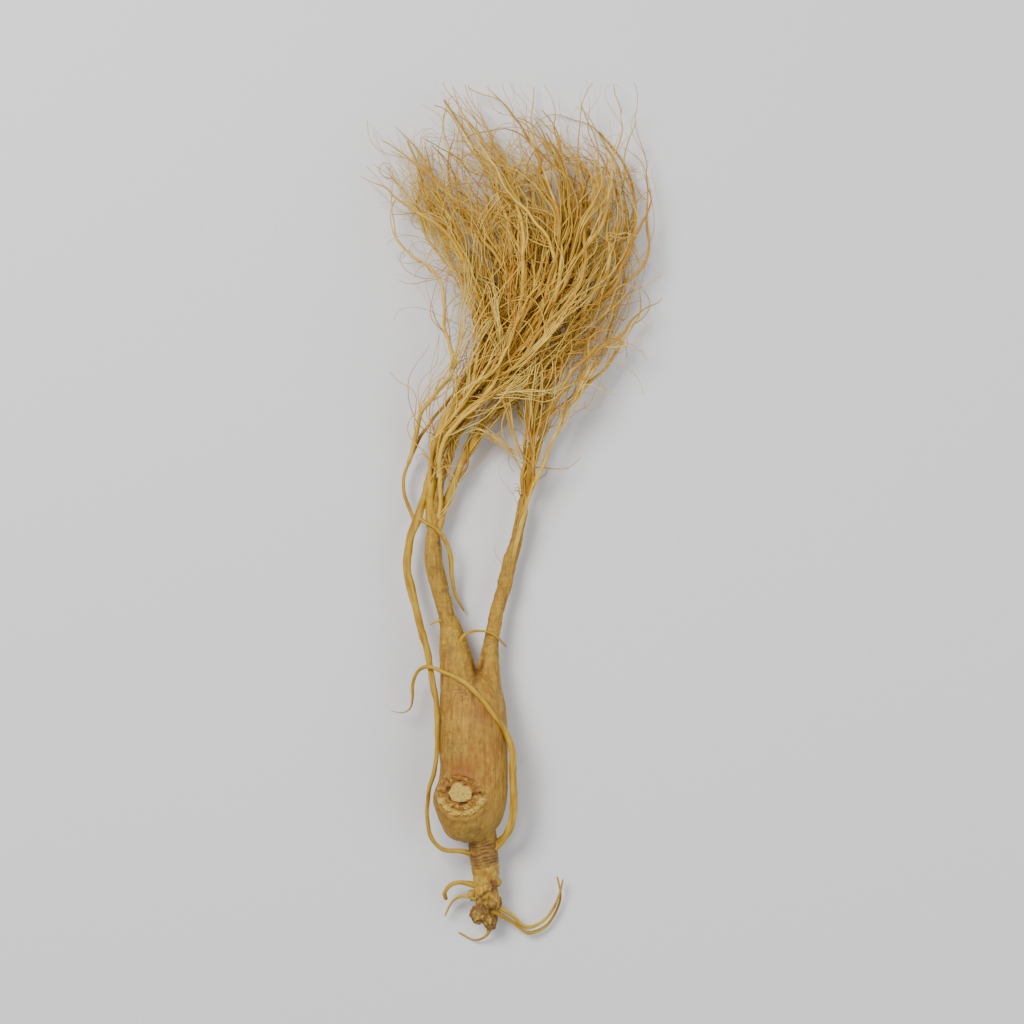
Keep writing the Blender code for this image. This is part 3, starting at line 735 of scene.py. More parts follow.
def relief(p, leg):
    """How far the skin stands out at p, in millimetres, and how deep in a crease it lies, from 0 to 1, which
    sets the painted shade in the creases.
    """
    folds = ridged(p, *FOLDS) ** 2
    wrinkles = ridged(p, *WRINKLES)
    warts = noise.noise(p * 1.4 + Vector((5, 0, 2))) + 0.6 * noise.noise(p * 0.7)
    cracked = max(0.0, waves(p, *CRACKED_PARTS)) * 2.0
    across = ridged(p, *CROSS_CRACKS)
    across *= min(1.3, cracked + 0.5 * leg)
    cracks = ridged(p, *SHORT_CRACKS) * spot(p, *CRACKED_PATCH)
    groove = fork_groove(p)
    height = 0.24 * waves(p, *LONG_WAVES) - 0.14 * folds - 0.1 * wrinkles
    height = height + 0.045 * waves(p, *STREAKS) - 0.07 * across + 0.05 * warts
    leg_knots = (0.28 * waves(p, *KNOTS) + 0.03 * warts) * leg
    height = height * (0.65 + 0.5 * leg) + leg_knots - GROOVE_DEPTH * groove
    height -= 0.07 * leg * ridged(p, *LEG_RIDGES)
    # The crease share is painted shade in the folds, wrinkles, cross cracks, low spots and fork groove, and
    # also the short cracks' own dark
    crease_shade = 0.45 * folds + 0.3 * wrinkles + 0.45 * across + 0.15 * max(0.0, -warts)
    return height - 0.1 * cracks, min(1.0, crease_shade * (0.6 + 0.1 * leg) + 0.6 * groove + 0.7 * cracks)


def neck_relief(p):
    """The slanting rings of the collar, the lumpy neck and the torn head, with how deep in their creases each
    point lies, for painted shade.
    """
    slanted = p.y - COLLAR_SLANT * (p.x - COLLAR_MIDDLE_X)
    rings = collar_share(slanted)
    ring = math.cos(math.tau * (slanted + 0.9 * waves(p, *WOBBLES)) / COLLAR_PITCH)
    broken = clamped(0.62 + 1.3 * waves(p, *RING_BREAKS))
    lumps = waves(p, *NECK_LUMPS)
    warts = noise.noise(p * 1.6)
    torn = ridged(p, *HEAD_TEARS) ** 1.5
    flaked = ridged(p, *HEAD_FLAKES)
    head = clamped((HEAD_FROM_Y - p.y) / HEAD_FADE)
    plate_x, plate_y = p.x * 0.62 + 0.5 * lumps, p.y * 0.5 + 0.3 * warts
    plates = noise.cell(Vector((plate_x, plate_y, p.z * 0.5 + 0.4 * lumps + 3.3)))
    from_pinch = p.y - PINCH_Y - PINCH_SLANT * (p.x - PINCH_MIDDLE_X) + 0.8 * lumps
    pinched = math.exp(-((from_pinch / PINCH_WIDTH) ** 2))
    uneven = (0.42 * lumps + 0.14 * warts) * (1 - rings) * (1 - 0.55 * head)
    height = rings * (RING_HEIGHT * ring * broken + 0.25 * lumps) + uneven
    height += head * (0.26 * plates - 0.34 * torn - 0.2 * flaked) - 0.4 * pinched
    # Painted shade between the collar's rings, in the head's tears and flakes, at the pinch and in low spots
    between_rings = rings * broken * clamped(0.35 - 0.75 * ring)
    crease_shade = max(between_rings, 0.75 * head * torn, 0.5 * head * flaked, 0.8 * pinched)
    return height, crease_shade + 0.3 * max(0.0, -warts) * (1 - rings)


def neck_share(p):
    """1 on the neck and the head, fading out at the shoulder, and 0 on the body."""
    x, z = NECK_MIDDLE
    within_neck = math.hypot(p.x - x, p.z - z) < NECK_REACH or p.y < NECK_ALL_BELOW_Y
    return clamped((NECK_FROM_Y - p.y) / NECK_FADE) * within_neck


def flushed_share(p, local):
    """How reddish the skin is above the scar, in whose coordinates local is, and in a patch."""
    above_scar = 0.0
    if local.z > -4:
        above_scar = 1.25 * math.exp(-((local.x - 0.9) ** 2 / 10 + (local.y - 6.2) ** 2 / 8))
    return min(1.0, above_scar + 0.8 * spot(p, *FLUSHED_PATCH))


def shape_skin(skin, scar):
    """Moves the skin's points into relief, sinks the scar, and records what colour follows, painted shade in
    the creases among it.
    """
    to_scar = scar.inverted()
    tones, marks = [], []
    for vertex, normal in zip(skin.data.vertices, [n.vector.copy() for n in skin.data.vertex_normals]):
        p = vertex.co / MM
        leg = clamped((p.y - LEG_FROM_Y) / LEG_FADE)
        height, crease_shade = relief(p, leg)
        neck = neck_share(p)
        neck_height, neck_crease = neck_relief(p)
        height = height * (1 - neck) + neck_height * neck
        crease_shade = max(crease_shade * (1 - neck), neck_crease * neck)
        local = to_scar @ vertex.co / MM
        near = math.hypot(local.x, local.y)
        if near < SCAR_RADIUS + SCAR_RAISED_OVER and local.z > -3:
            height *= clamped((near - SCAR_RADIUS) / SCAR_RAISED_OVER)
            height += SCAR_RAISED * math.exp(-((near - SCAR_RADIUS - 0.45) ** 2) / 0.35)
        bud_marks = sum(spot(p, *place) for place in BUD_SCAR)
        bud = min(1.0, bud_marks * (0.9 + 0.9 * noise.noise(p * 1.3)))
        height -= BUD_DEPTH * bud
        lifted = vertex.co + normal * height * MM
        local = to_scar @ lifted / MM
        if math.hypot(local.x, local.y) < SCAR_RADIUS and local.z > SCAR_FLOOR:
            local.z = SCAR_FLOOR
            lifted = scar @ (local * MM)
        lifted.z = max(lifted.z, 0.0)
        vertex.co = lifted
        collar = collar_share(p.y - COLLAR_SLANT * (p.x - COLLAR_MIDDLE_X)) * neck
        head = clamped((HEAD_DARK_FROM_Y - p.y) / HEAD_DARK_FADE)
        low_end = clamped((LOW_END_FROM_Y - p.y) / LOW_END_FADE) * (1 - neck)
        # The first value is the painted shade in the creases
        tones.append((crease_shade, neck, leg, flushed_share(p, local)))
        marks.append((collar, head, bud, low_end))
    record(skin.data, "skin", tones)
    record(skin.data, "marks", marks)


# The cut scar


def scar_matrix(surface):
    """Puts the scar's own +Z along its facing, with its origin in the plane of the cut."""
    face = Vector((*SCAR_PLACE, top_at(surface, *SCAR_PLACE)))
    turn = Vector((0, 0, 1)).rotation_difference(SCAR_FACING).to_matrix().to_4x4()
    widened = Matrix.Diagonal((SCAR_WIDENED, 1, 1, 1))
    return Matrix.Translation((face - SCAR_FACING * SCAR_DEPTH) * MM) @ turn @ widened


def scar_height(x, y):
    """Height of the scar above the cut's plane, and its shares of disc, dark (pits, and painted shade in the
    sunk parts), pale tears and red-brown.
    """
    at = Vector((x, y, 0.0))
    r, angle = math.hypot(x, y), math.atan2(y, x)
    (middle_x, middle_y), (half_x, half_y) = DISC_MIDDLE, DISC_HALF_SIZES
    across = math.hypot((x - middle_x) / half_x, (y - middle_y) / half_y)
    from_disc = (across - 1 - 0.2 * noise.noise(at * 0.7 + Vector((0, 4, 1)))) * half_y
    in_disc = clamped(-from_disc / 0.2)
    in_trough = clamped((TROUGH_WIDTH - from_disc) / 0.35) * (1 - in_disc)
    pitted = clamped(0.1 + 2.6 * noise.noise(at * 0.85 + Vector((2.7, 9, 4))))
    around = Vector((math.cos(angle), math.sin(angle), 0.0))
    notches = noise.noise(around * 5.5 + Vector((0, 0, r * 0.5)))
    lumps = 0.8 * notches + 0.5 * noise.noise(at * 2.0)
    torn = noise.noise(at * 2.8) + 0.6 * noise.noise(at * 6.0)
    lower_side = max(0.0, -math.sin(angle + 0.15)) ** 0.6
    upper_side = max(0.0, math.sin(angle + 0.35)) ** 0.7
    crescent = math.exp(-((r - CRESCENT_RADIUS) ** 2) / 0.42) * lower_side
    furrow = math.exp(-((r - FURROW_RADIUS) ** 2) / 0.05) * lower_side
    broken = clamped(0.45 + 1.8 * noise.noise(around * 3.5 + Vector((6, 1, 2))))
    torn_edge = math.exp(-((r - TORN_RADIUS - 0.5 * notches) ** 2) / 0.07) * (0.35 + upper_side) * broken
    rim = max(0.0, 1 - in_disc - in_trough)
    height = in_disc * (0.34 + 0.14 * noise.noise(at * 2.2) - 0.02 * from_disc)
    height -= in_trough * (0.1 + 0.36 * pitted)
    raised = rim * (0.05 + 0.34 * lumps + 0.16 * torn)
    height += raised + crescent * (0.3 + 0.28 * torn) - furrow * 0.3 * rim
    height -= torn_edge * 0.35
    outside = r - SCAR_RADIUS + 0.1 + 0.4 * noise.noise(at * 0.9 + Vector((3, 0, 0)))
    height -= min(max(0.0, outside / 0.6), 1.4) ** 1.5 * 1.3
    # Dark share: the trough's pits, partly their own dark and partly painted shade, and painted shade in the
    # rim's hollows, its furrow and the torn edge
    hollows = rim * max(0.0, -lumps * 2.0 - 0.3)
    dark = max(0.85 * in_trough * pitted, 0.6 * furrow * rim, hollows, 0.6 * torn_edge)
    pale = rim * clamped(crescent * (0.75 + 0.9 * torn) + max(0.0, lumps * 1.6 - 0.1))
    reddish = max(in_trough, rim * upper_side * 0.8, 0.5 * rim * (1 - lower_side))
    return height, in_disc, min(1.0, dark), pale, reddish


def cut_scar(scar):
    """The cut face, inset ring by ring from its outer edge and then raised and torn."""
    deselect()
    bpy.ops.mesh.primitive_circle_add(vertices=SCAR_SIDES, radius=SCAR_EDGE_RADIUS * MM, fill_type="NGON")
    item = bpy.context.object
    item.name = "cut_scar"
    step = SCAR_EDGE_RADIUS / (SCAR_RINGS + 1)
    bpy.ops.object.mode_set(mode="EDIT")
    for _ in range(SCAR_RINGS):
        bpy.ops.mesh.inset(thickness=step * MM, depth=0, use_boundary=True)
    bpy.ops.object.mode_set(mode="OBJECT")
    facts = []
    for vertex in item.data.vertices:
        height, *shares = scar_height(vertex.co.x / MM, vertex.co.y / MM)
        vertex.co.z = height * MM
        facts.append(shares)
    record(item.data, "scar", facts)
    modified(item, "Back", "SOLIDIFY", thickness=SCAR_THICKNESS * MM, offset=-1)
    item.data.transform(scar)
    item.data.shade_smooth()
    return item


# Strands, rootlets and hairs


def heading(parent, distance):
    """The point of a line at a distance along it, and its direction in the plan."""
    reached = 0.0
    for a, b in zip(parent, parent[1:]):
        reached += (b.xyz - a.xyz).length
        if reached >= distance:
            break
    return a, math.atan2(b.y - a.y, b.x - a.x)


def long_rootlet(rng, parent, from_share, to_share):
    """One long rootlet: it keeps roughly to its parent's course, and drifts, waves and curls at the tip."""
    begin = line_length(parent) * rng.uniform(from_share, to_share)
    length = rng.uniform(*ROOTLET_LENGTH)
    spread = rng.gauss(0, SPREAD_ANGLE)
    wave, wave_length, phase = rng.uniform(*WAVE_ANGLE), rng.uniform(*WAVE_LENGTH), rng.uniform(0, math.tau)
    curl = rng.choice((-1, 1)) * rng.uniform(*CURL_ANGLE)
    rise, tip_z = rng.uniform(*RISE), rng.uniform(LOWEST_TIP, HIGHEST_TIP)
    furthest = FURTHEST_Y - TIP_SCATTER * rng.random() ** 2
    radius = rng.uniform(*ROOTLET_RADIUS)
    start, _ = heading(parent, begin)
    x, y = start.x, start.y
    points = []
    steps = round(length / ROOTLET_STEP)
    for i in range(steps + 1):
        share = i / steps
        beside, angle = heading(parent, begin + i * ROOTLET_STEP)
        z = beside.z + rise * math.sin(math.pi * share)
        z += (tip_z - z) * share**2
        points.append(Vector((x, y, max(z, radius), radius * (1 - (1 - ROOTLET_TIP) * share))))
        drift = spread * min(1.0, 3 * share)
        angle += drift + wave * math.sin(math.tau * i * ROOTLET_STEP / wave_length + phase)
        angle += curl * max(0.0, (share - CURL_START) / (1 - CURL_START)) ** 2
        x += ROOTLET_STEP * math.cos(angle)
        y += ROOTLET_STEP * math.sin(angle)
        if y > furthest or not LEFTMOST_X < x < RIGHTMOST_X:
            break
    return points


def strands(surface):
    """The legs', branches' and strands' lines by name, as (x, y, z, radius) points."""
    lines = {}
    for name, (route, count) in DRAWN_STRANDS.items():
        lines[name] = evenly(smooth(route, PER_SPAN), count)
    for name in LAID_STRANDS:
        laid(lines[name], surface)
    return lines


def rootlet_lines(lines):
    """The long rootlets' lines, the same ones that the solid has."""
    rng = random.Random(ROOTLET_SEED)
    grown = []
    for parent, count, from_share, to_share in LONG_ROOTLETS:
        for _ in range(count):
            grown.append(long_rootlet(rng, lines[parent], from_share, to_share))
    return grown


def within(p, low, high, margin):
    """True where p is inside the rounded outline of the root's own spread."""
    middle = (low.x + high.x) / 2
    top = high.y - ROUNDED_TOP * ((p.x - middle) / (high.x - middle)) ** 2 - margin
    beside = margin * SIDE_MARGIN_SHARE
    return low.x + EDGE + beside < p.x < high.x - EDGE - beside and low.y + EDGE < p.y < top


def within_height(z, radius, high):
    """z, kept above the table and below the root's own top."""
    return min(max(z, radius + ABOVE_TABLE), high.z - BELOW_TOP)


def cut_off(points, low, high):
    """The hair as far as it stays within the root's own spread."""
    kept = []
    for p in points:
        if not within(p, low, high, EDGE):
            break
        kept.append(p)
    return kept


def hair(rng, parent, high, length, radius, habit):
    """One fine hair: it leaves its parent at a slant, keeps to its course, waves and curls."""
    curl_most, stray, held = habit
    begin = line_length(parent) * rng.uniform(0.0, LAST_HAIR_SHARE)
    start, angle = heading(parent, begin)
    if start.y < SPARSE_BELOW:
        length *= SPARSE_LENGTH
    mean_step = length / (HAIR_POINTS - 1)
    wave, wave_length = rng.uniform(*HAIR_WAVE), max(rng.uniform(*HAIR_WAVE_LENGTH), 5 * mean_step)
    phase = rng.uniform(0, math.tau)
    curl = rng.choice((-1, 1)) * rng.uniform(0.0, curl_most)
    if rng.random() < LOOPED_SHARE:
        curl *= LOOPED_MORE
    rise, tip_z = rng.uniform(*HAIR_RISE), rng.uniform(*HAIR_TIP_Z)
    angle += rng.gauss(0, stray)
    x, y = start.x, start.y
    points, gone = [], 0.0
    for i in range(HAIR_POINTS):
        share = i / (HAIR_POINTS - 1)
        step = mean_step * (1.4 - 0.8 * share)
        beside, course = heading(parent, begin + gone)
        z = beside.z + rise * math.sin(math.pi * share)
        z += (tip_z - z) * share**2
        thin = radius * (1 - HAIR_THINNED * share)
        points.append(Vector((x, y, within_height(z, thin, high), thin)))
        drift = (course - angle + math.pi) % math.tau - math.pi
        angle += drift * held * (1 - share)
        angle += wave * math.sin(math.tau * gone / wave_length + phase)
        angle += curl * share * 2 / HAIR_POINTS + rng.gauss(0, HAIR_JITTER)
        gone += step
        x += step * math.cos(angle)
        y += step * math.sin(angle)
    return points


def settled_hair(rng, parents, low, high, lengths, radii, habit):
    """A hair that stays within the root's own spread, drawn again where it would not, and cut at last."""
    margin = rng.uniform(*HAIR_MARGIN)
    for _ in range(HAIR_DRAWS):
        parent, length, radius = rng.choice(parents), rng.uniform(*lengths), rng.uniform(*radii)
        points = hair(rng, parent, high, length, radius, habit)
        if all(within(p, low, high, margin) for p in points):
            return points
    return cut_off(points, low, high)


def tip_hairs(rng, line, low, high):
    """The few finer ends that a long rootlet splits into."""
    ends = []
    for _ in range(TIP_HAIRS):
        parent = line[-rng.randint(*TIP_HAIR_START):]
        radius = parent[0][3] * rng.uniform(*TIP_HAIR_THINNED)
        points = hair(rng, parent, high, rng.uniform(*TIP_HAIR_LENGTH), radius, TIP_HABIT)
        ends.append([p for p in points if low.x < p.x < high.x and p.y < high.y])
    return [points for points in ends if len(points) > FEWEST_HAIR_POINTS]


def tuft(rng, guide, low, high):
    """Fine hairs that keep together along one course and part towards their tips."""
    hairs = []
    for _ in range(rng.randint(*TUFT_HAIRS)):
        first = rng.randint(0, len(guide) // 4)
        last = rng.randint(len(guide) * 2 // 3, len(guide))
        turn, apart, seed = rng.uniform(0, math.tau), rng.uniform(*TUFT_SPREAD), rng.uniform(0, 90)
        radius = rng.uniform(*HAIR_RADIUS)
        points = []
        for i, p in enumerate(guide[first:last]):
            share = i / max(1, last - first)
            away = 0.4 + apart * share**1.4
            drift = wander(Vector((i * 0.3, seed, 0))) * (0.3 + 2.0 * share)
            thin = radius * (1 - HAIR_THINNED * share)
            z = within_height(p.z + 0.3 * away * math.sin(2 * turn) + drift.z, thin, high)
            x, y = p.x + away * math.cos(turn) + drift.x, p.y + away * math.sin(turn) + drift.y
            points.append(Vector((x, y, z, thin)))
        hairs.append(cut_off(points, low, high))
    return hairs


def thick_strands(lines):
    """The drawn strands and short rootlets, and the legs' thin ends."""
    rng = random.Random(STRAND_TONE_SEED)
    routes = []
    for i, name in enumerate(THICK_STRANDS):
        route = fine_line(lines[name], STRAND_STEP, STRAND_CRINKLE, 1.0 + i)
        routes.append(pointed(route, STRAND_THINNED_OVER))
        if name in LAID_STRANDS:
            flared(route, *STRAND_FLARE)
    for leg in ("left_leg", "right_leg"):
        line = fine_line(lines[leg], SKIN_STEP)
        routes.append([p for p in line if p[3] < LEG_END_RADIUS + LEG_END_OVERLAP and p.y > LEG_END_FROM_Y])
    for i, route in enumerate(SHORT_ROOTLETS):
        line = fine_line(smooth(route, SHORT_PER_SPAN), SHORT_STEP, SHORT_CRINKLE, 9.0 + i)
        routes.append(flared(line, *SHORT_FLARE))
    tones = [rng.uniform(*STRAND_TONES) for _ in routes]
    return strand_mesh("strands", routes, STRAND_SIDES, tones, STRAND_SHRIVEL)


def all_hairs(parents, forks):
    """Fine hairs on the long rootlets and strands by kind, and the stouter ones that the legs fork into."""
    rng = random.Random(HAIR_SEED)
    low, high = (Vector(corner) / MM for corner in CAD_BOX)
    groups = {"forked": []}
    for _ in range(FORK_COUNT):
        forked = settled_hair(rng, forks, low, high, FORK_LENGTH, FORK_RADIUS, FORK_HABIT)
        groups["forked"].append(forked)
    for kind, (single, tufts, lengths, *habit) in HAIR_KINDS.items():
        groups[kind] = []
        for _ in range(single):
            groups[kind].append(settled_hair(rng, parents, low, high, lengths, HAIR_RADIUS, habit))
        for _ in range(tufts):
            guide = settled_hair(rng, parents, low, high, TUFT_LENGTH, HAIR_RADIUS, TUFT_HABIT)
            groups[kind] += tuft(rng, guide, low, high)
    for line in parents:
        groups["golden"] += tip_hairs(rng, line, low, high)
    for kind, routes in groups.items():
        groups[kind] = [route for route in routes if len(route) >= FEWEST_HAIR_POINTS]
    return groups


# Finishes


def new_finish(name):
    """A material with its nodes and its surface shader."""
    finish = bpy.data.materials.new(name)
    finish.use_nodes = True
    return finish, finish.node_tree, finish.node_tree.nodes["Principled BSDF"]


def added(tree, kind, **settings):
    """A node of the kind, with the sockets or properties named set."""
    made = tree.nodes.new(kind)
    for key, value in settings.items():
        if key in made.inputs:
            made.inputs[key].default_value = value
        else:
            setattr(made, key, value)
    return made


def pattern(tree, texture, stretch, output, **settings):
    """A texture on the object's own coordinates, stretched as given: features per metre along X, Y and Z."""
    place = added(tree, "ShaderNodeTexCoord")
    mapping = added(tree, "ShaderNodeMapping", Scale=stretch)
    made = added(tree, texture, **settings)
    tree.links.new(place.outputs["Object"], mapping.inputs["Vector"])
    tree.links.new(mapping.outputs["Vector"], made.inputs["Vector"])
    return made.outputs[output]


def grain(tree, across, along, detail, roughness=0.5):
    """Soft noise with so many features a metre across and along the root."""
    settings = {"Scale": 1.0, "Detail": detail, "Roughness": roughness}
    return pattern(tree, "ShaderNodeTexNoise", (across, along, across), "Fac", **settings)


def shades(tree, fac, *stops):
    """A colour ramp read by fac, its stops given as (place, colour)."""
    ramp = added(tree, "ShaderNodeValToRGB")
    elements = ramp.color_ramp.elements
    while len(elements) < len(stops):
        elements.new(1.0)
    for element, (place, colour) in zip(elements, stops):
        element.position = place
        element.color = (*colour, 1.0)
    tree.links.new(fac, ramp.inputs["Fac"])
    return ramp.outputs["Color"]


def faded(tree, fac, none_at, full_at, most, least=0.0):
    """A share that grows from least, where the pattern is none_at, to most, where it is full_at."""
    grows = added(tree, "ShaderNodeMapRange")
    sockets = {"From Min": none_at, "From Max": full_at, "To Min": least, "To Max": most}
    for socket, value in sockets.items():
        grows.inputs[socket].default_value = value
    tree.links.new(fac, grows.inputs["Value"])
    return grows.outputs["Result"]


def fed(tree, value, socket):
    """Gives the socket its value: that of another socket, a number or a colour."""
    if isinstance(value, bpy.types.NodeSocket):
        tree.links.new(value, socket)
    else:
        socket.default_value = (*value, 1.0) if isinstance(value, tuple) else value


def mixed(tree, fac, a, b):
    """a and b mixed as colours by fac; each of the three is a socket or a value."""
    mix = added(tree, "ShaderNodeMix", data_type="RGBA")
    for value, place in ((fac, 0), (a, 6), (b, 7)):
        fed(tree, value, mix.inputs[place])
    return mix.outputs[2]


def reckoned(tree, operation, a, b):
    """a and b put through a sum; each is a socket or a number."""
    made = added(tree, "ShaderNodeMath", operation=operation)
    fed(tree, a, made.inputs[0])
    fed(tree, b, made.inputs[1])
    return made.outputs[0]


def times(tree, a, b):
    """a times b."""
    return reckoned(tree, "MULTIPLY", a, b)


def masks(tree, attribute):
    """The red, green, blue and alpha of a mesh's attribute."""
    read = added(tree, "ShaderNodeAttribute", attribute_name=attribute)
    split = added(tree, "ShaderNodeSeparateColor")
    tree.links.new(read.outputs["Color"], split.inputs["Color"])
    return (*split.outputs, read.outputs["Alpha"])


def bumped(tree, surface, height, strength, distance):
    """Adds fine relief to the surface."""
    bump = added(tree, "ShaderNodeBump", Strength=strength, Distance=distance)
    tree.links.new(height, bump.inputs["Height"])
    tree.links.new(bump.outputs["Normal"], surface.inputs["Normal"])


def skin_finish():
    """Dry tan skin with lengthwise streaks, painted shade in the creases, dark cracks and pits, dark head and
    yellower legs.
    """
    finish, tree, surface = new_finish("dried_root_skin")
    crease_shade, neck, leg, flushed = masks(tree, "skin")
    collar, head, bud, low_end = masks(tree, "marks")
    streaks = grain(tree, 1300, 130, 4.0, 0.62)
    fibres = grain(tree, 4200, 420, 3.0, 0.6)
    blotches = grain(tree, 190, 110, 4.0)
    clouds = grain(tree, 330, 200, 3.0)
    mottle = grain(tree, 950, 620, 4.0, 0.6)
    across = grain(tree, 260, 3000, 2.0)
    pits = pattern(tree, "ShaderNodeTexVoronoi", (760, 430, 760), "Distance", Scale=1.0)
    crumbs = grain(tree, 2600, 2200, 2.0)
    scratches = times(tree, faded(tree, across, 0.36, 0.27, 0.5), faded(tree, clouds, 0.5, 0.6, 1.0))
    speckled = times(tree, faded(tree, pits, 0.24, 0.08, 1.0), faded(tree, mottle, 0.46, 0.66, 0.8))
    base = shades(tree, streaks, (0.29, TAN_DARK), (0.48, TAN), (0.67, TAN_PALE))
    for share, colour in (
        (faded(tree, blotches, 0.46, 0.64, 0.8), ORANGE_TAN),
        (faded(tree, clouds, 0.5, 0.66, 0.75), TAN_PALE),
        (faded(tree, blotches, 0.48, 0.32, 0.6), OLIVE),
        (times(tree, leg, 0.85), YELLOW_TAN),
        (times(tree, neck, 0.5), YELLOW_TAN),
        (faded(tree, mottle, 0.47, 0.33, 0.75), TAN_DARK),
        (faded(tree, mottle, 0.54, 0.68, 0.6), TAN_PALE),
        (faded(tree, fibres, 0.48, 0.3, 0.55), TAN_DARK),
        (times(tree, flushed, 0.8), RUSSET),
        (times(tree, low_end, 0.45), OLIVE),
        (times(tree, leg, faded(tree, crumbs, 0.56, 0.68, 0.45)), STRAW),
        (times(tree, neck, faded(tree, mottle, 0.5, 0.62, 0.9)), STRAW),
        (scratches, BROWN),
        (speckled, DARK_BROWN),
        (times(tree, collar, 0.6), BROWN),
        (times(tree, head, faded(tree, mottle, 0.62, 0.4, 0.85)), BROWN),
        # Painted shade: dark brown laid into the creases, grooves and cracks of the relief, partly the
        # cracks' own dark
        (times(tree, crease_shade, 0.85), DARK_BROWN),
        (bud, BUD_RED),
    ):
        base = mixed(tree, share, base, colour)
    tree.links.new(base, surface.inputs["Base Color"])
    tree.links.new(faded(tree, streaks, 0.0, 1.0, 0.85, 0.55), surface.inputs["Roughness"])
    height = streaks
    for fine, most in ((fibres, 0.5), (mottle, 0.7), (crumbs, 0.2)):
        height = reckoned(tree, "ADD", height, times(tree, fine, most))
    bumped(tree, surface, height, 0.8, 0.00025)
    return finish


def strand_finish(name):
    """Golden rootlet skin: each strand its own tone, with painted shade in its furrows, and browner at knots
    and towards the tip.
    """
    dark, middle, pale = STRAND_COLOURS[name]
    finish, tree, surface = new_finish(name)
    tone, share, height_for_furrow_shade, _ = masks(tree, "strand")
    mottle = grain(tree, 800, 500, 3.0)
    knots = grain(tree, 170, 170, 2.0)
    shade = reckoned(tree, "ADD", times(tree, tone, 0.6), times(tree, mottle, 0.5))
    base = shades(tree, shade, (0.22, dark), (0.52, middle), (0.86, pale))
    # Painted shade: the dark colour laid into the furrows, where the strand stands out least
    base = mixed(tree, faded(tree, height_for_furrow_shade, 0.5, 0.38, 0.7), base, dark)
    base = mixed(tree, faded(tree, knots, 0.58, 0.72, 0.7), base, dark)
    base = mixed(tree, faded(tree, share, 0.8, 1.0, 0.2), base, dark)
    tree.links.new(base, surface.inputs["Base Color"])
    surface.inputs["Roughness"].default_value = 0.55
    surface.inputs["Specular IOR Level"].default_value = 0.3
    bumped(tree, surface, mottle, 0.6, 0.00012)
    return finish


def scar_finish():
    """Cut face: pale fibrous disc, dark broken ring, tan torn rim with pale edges, and painted shade in its
    pits, hollows, furrow and torn edge.
    """
    finish, tree, surface = new_finish("cut_scar_face")
    disc, dark, torn, reddish = masks(tree, "scar")
    fibres = grain(tree, 1900, 1900, 5.0, 0.65)
    base = shades(tree, fibres, (0.32, TAN_DARK), (0.5, TAN), (0.68, CUT_TAN))
    pale = shades(tree, fibres, (0.34, CUT_TAN), (0.56, CUT_PALE))
    for share, colour in (
        (times(tree, reddish, 0.75), RED_BROWN),
        (torn, CUT_PALE),
        (disc, pale),
        # dark: pits, and painted shade in the hollows, furrow and torn edge
        (dark, DARK_BROWN),
    ):
        base = mixed(tree, share, base, colour)
    tree.links.new(base, surface.inputs["Base Color"])
    surface.inputs["Roughness"].default_value = 0.8
    bumped(tree, surface, fibres, 0.6, 0.00015)
    return finish


def floor_finish():
    """Plain pale table."""
    finish, _, surface = new_finish("pale_table")
    surface.inputs["Base Color"].default_value = (0.74, 0.735, 0.74, 1.0)
    surface.inputs["Roughness"].default_value = 0.85
    return finish


# The picture


def light(name, place, size, power, colour):
    """A soft square lamp that faces the middle of the root."""
    target = Vector((*VIEW_CENTRE, 0.0)) * MM
    lamp = bpy.data.lights.new(name, "AREA")
    lamp.size = size
    lamp.energy = power
    lamp.color = colour
    item = bpy.data.objects.new(name, lamp)
    item.location = place
    item.rotation_euler = (target - Vector(place)).to_track_quat("-Z", "Y").to_euler()
    bpy.context.collection.objects.link(item)


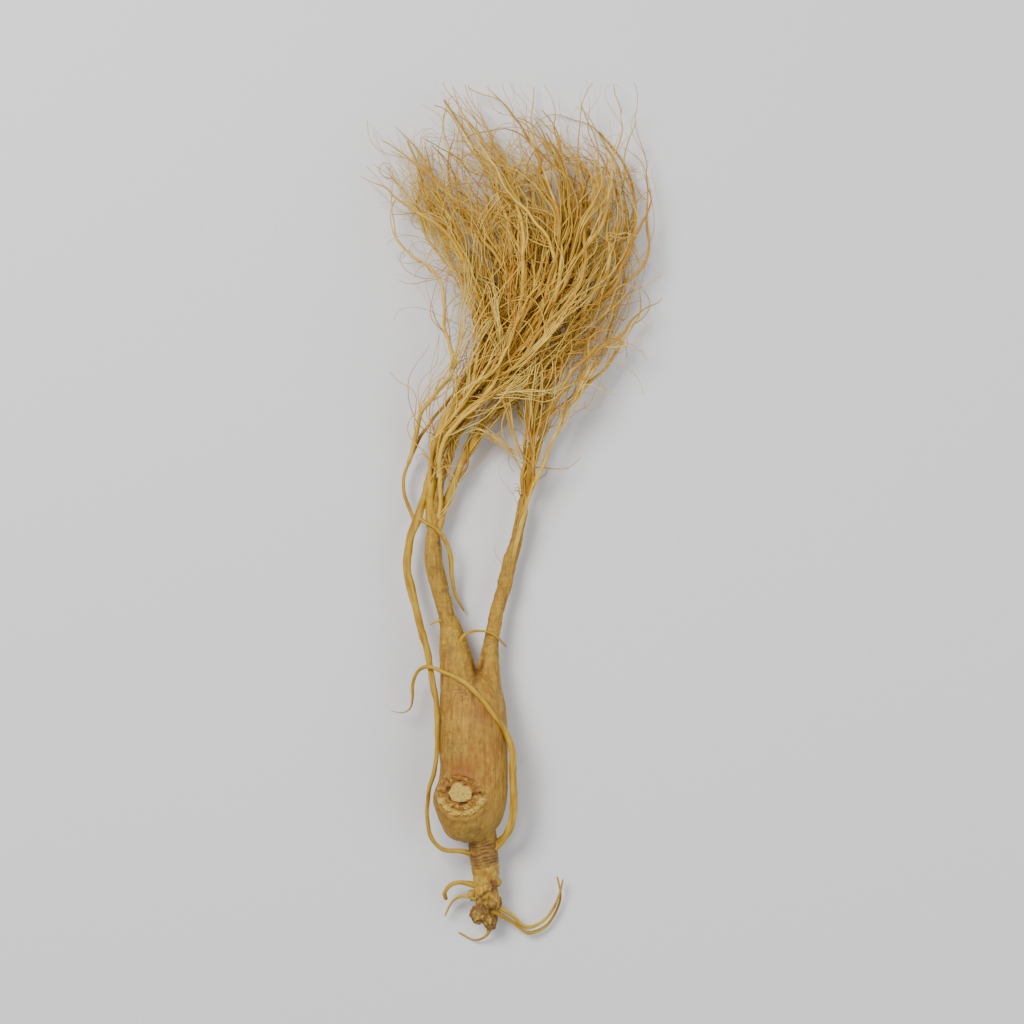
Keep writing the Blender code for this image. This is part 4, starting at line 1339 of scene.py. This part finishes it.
def studio():
    """Pale table, soft lamps and the camera straight above."""
    deselect()
    bpy.ops.mesh.primitive_plane_add(size=TABLE_SIZE)
    table = bpy.context.object
    table.name = "table"
    table.data.materials.append(floor_finish())
    light("key", (-0.36, 0.4, 0.64), 0.36, 8.4, (1.0, 0.985, 0.96))
    light("fill", (0.6, -0.1, 0.55), 0.7, 4.4, (0.96, 0.98, 1.0))
    world = bpy.data.worlds.new("studio")
    world.use_nodes = True
    background = world.node_tree.nodes["Background"]
    background.inputs["Color"].default_value = (0.95, 0.97, 1.0, 1.0)
    background.inputs["Strength"].default_value = ROOM_STRENGTH
    bpy.context.scene.world = world
    camera = bpy.data.cameras.new("camera")
    camera.lens = LENS
    item = bpy.data.objects.new("camera", camera)
    item.location = Vector((*VIEW_CENTRE, VIEW_HEIGHT)) * MM
    bpy.context.collection.objects.link(item)
    bpy.context.scene.camera = item


def dressed(item, finish):
    """Gives a piece its finish and its place in the root."""
    item.data.materials.clear()
    item.data.materials.append(finish)
    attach(item, "root")
    return item


def build():
    """The whole root with its finishes, on its table."""
    skin = plain_skin()
    surface = surface_of(skin)
    scar = scar_matrix(surface)
    shape_skin(skin, scar)
    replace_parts(dressed(skin, skin_finish()), NODE)
    dressed(cut_scar(scar), scar_finish())
    lines = strands(surface)
    dressed(thick_strands(lines), strand_finish("golden_rootlet"))
    rng = random.Random(ROOTLET_TONE_SEED)
    fine = []
    for i, line in enumerate(rootlet_lines(lines)):
        fine.append(pointed(fine_line(line, LONG_STEP, LONG_CRINKLE, i, TIP_CRINKLE), THINNED_OVER))
    tangled = strand_finish("tangled_rootlet")
    tones = [rng.random() for _ in fine]
    rootlets = strand_mesh("long_rootlets", fine, ROOTLET_SIDES, tones, ROOTLET_SHRIVEL)
    dressed(rootlets, tangled)
    forks = [lines[name][first:] for name, first in FORKED_FROM]
    for kind, routes in all_hairs(fine + forks, forks).items():
        finish = tangled if kind == "forked" else strand_finish(f"{kind}_hair")
        item = strand_mesh(f"{kind}_hairs", routes, HAIR_SIDES, [rng.random() for _ in routes])
        dressed(item, finish)
    studio()


build()
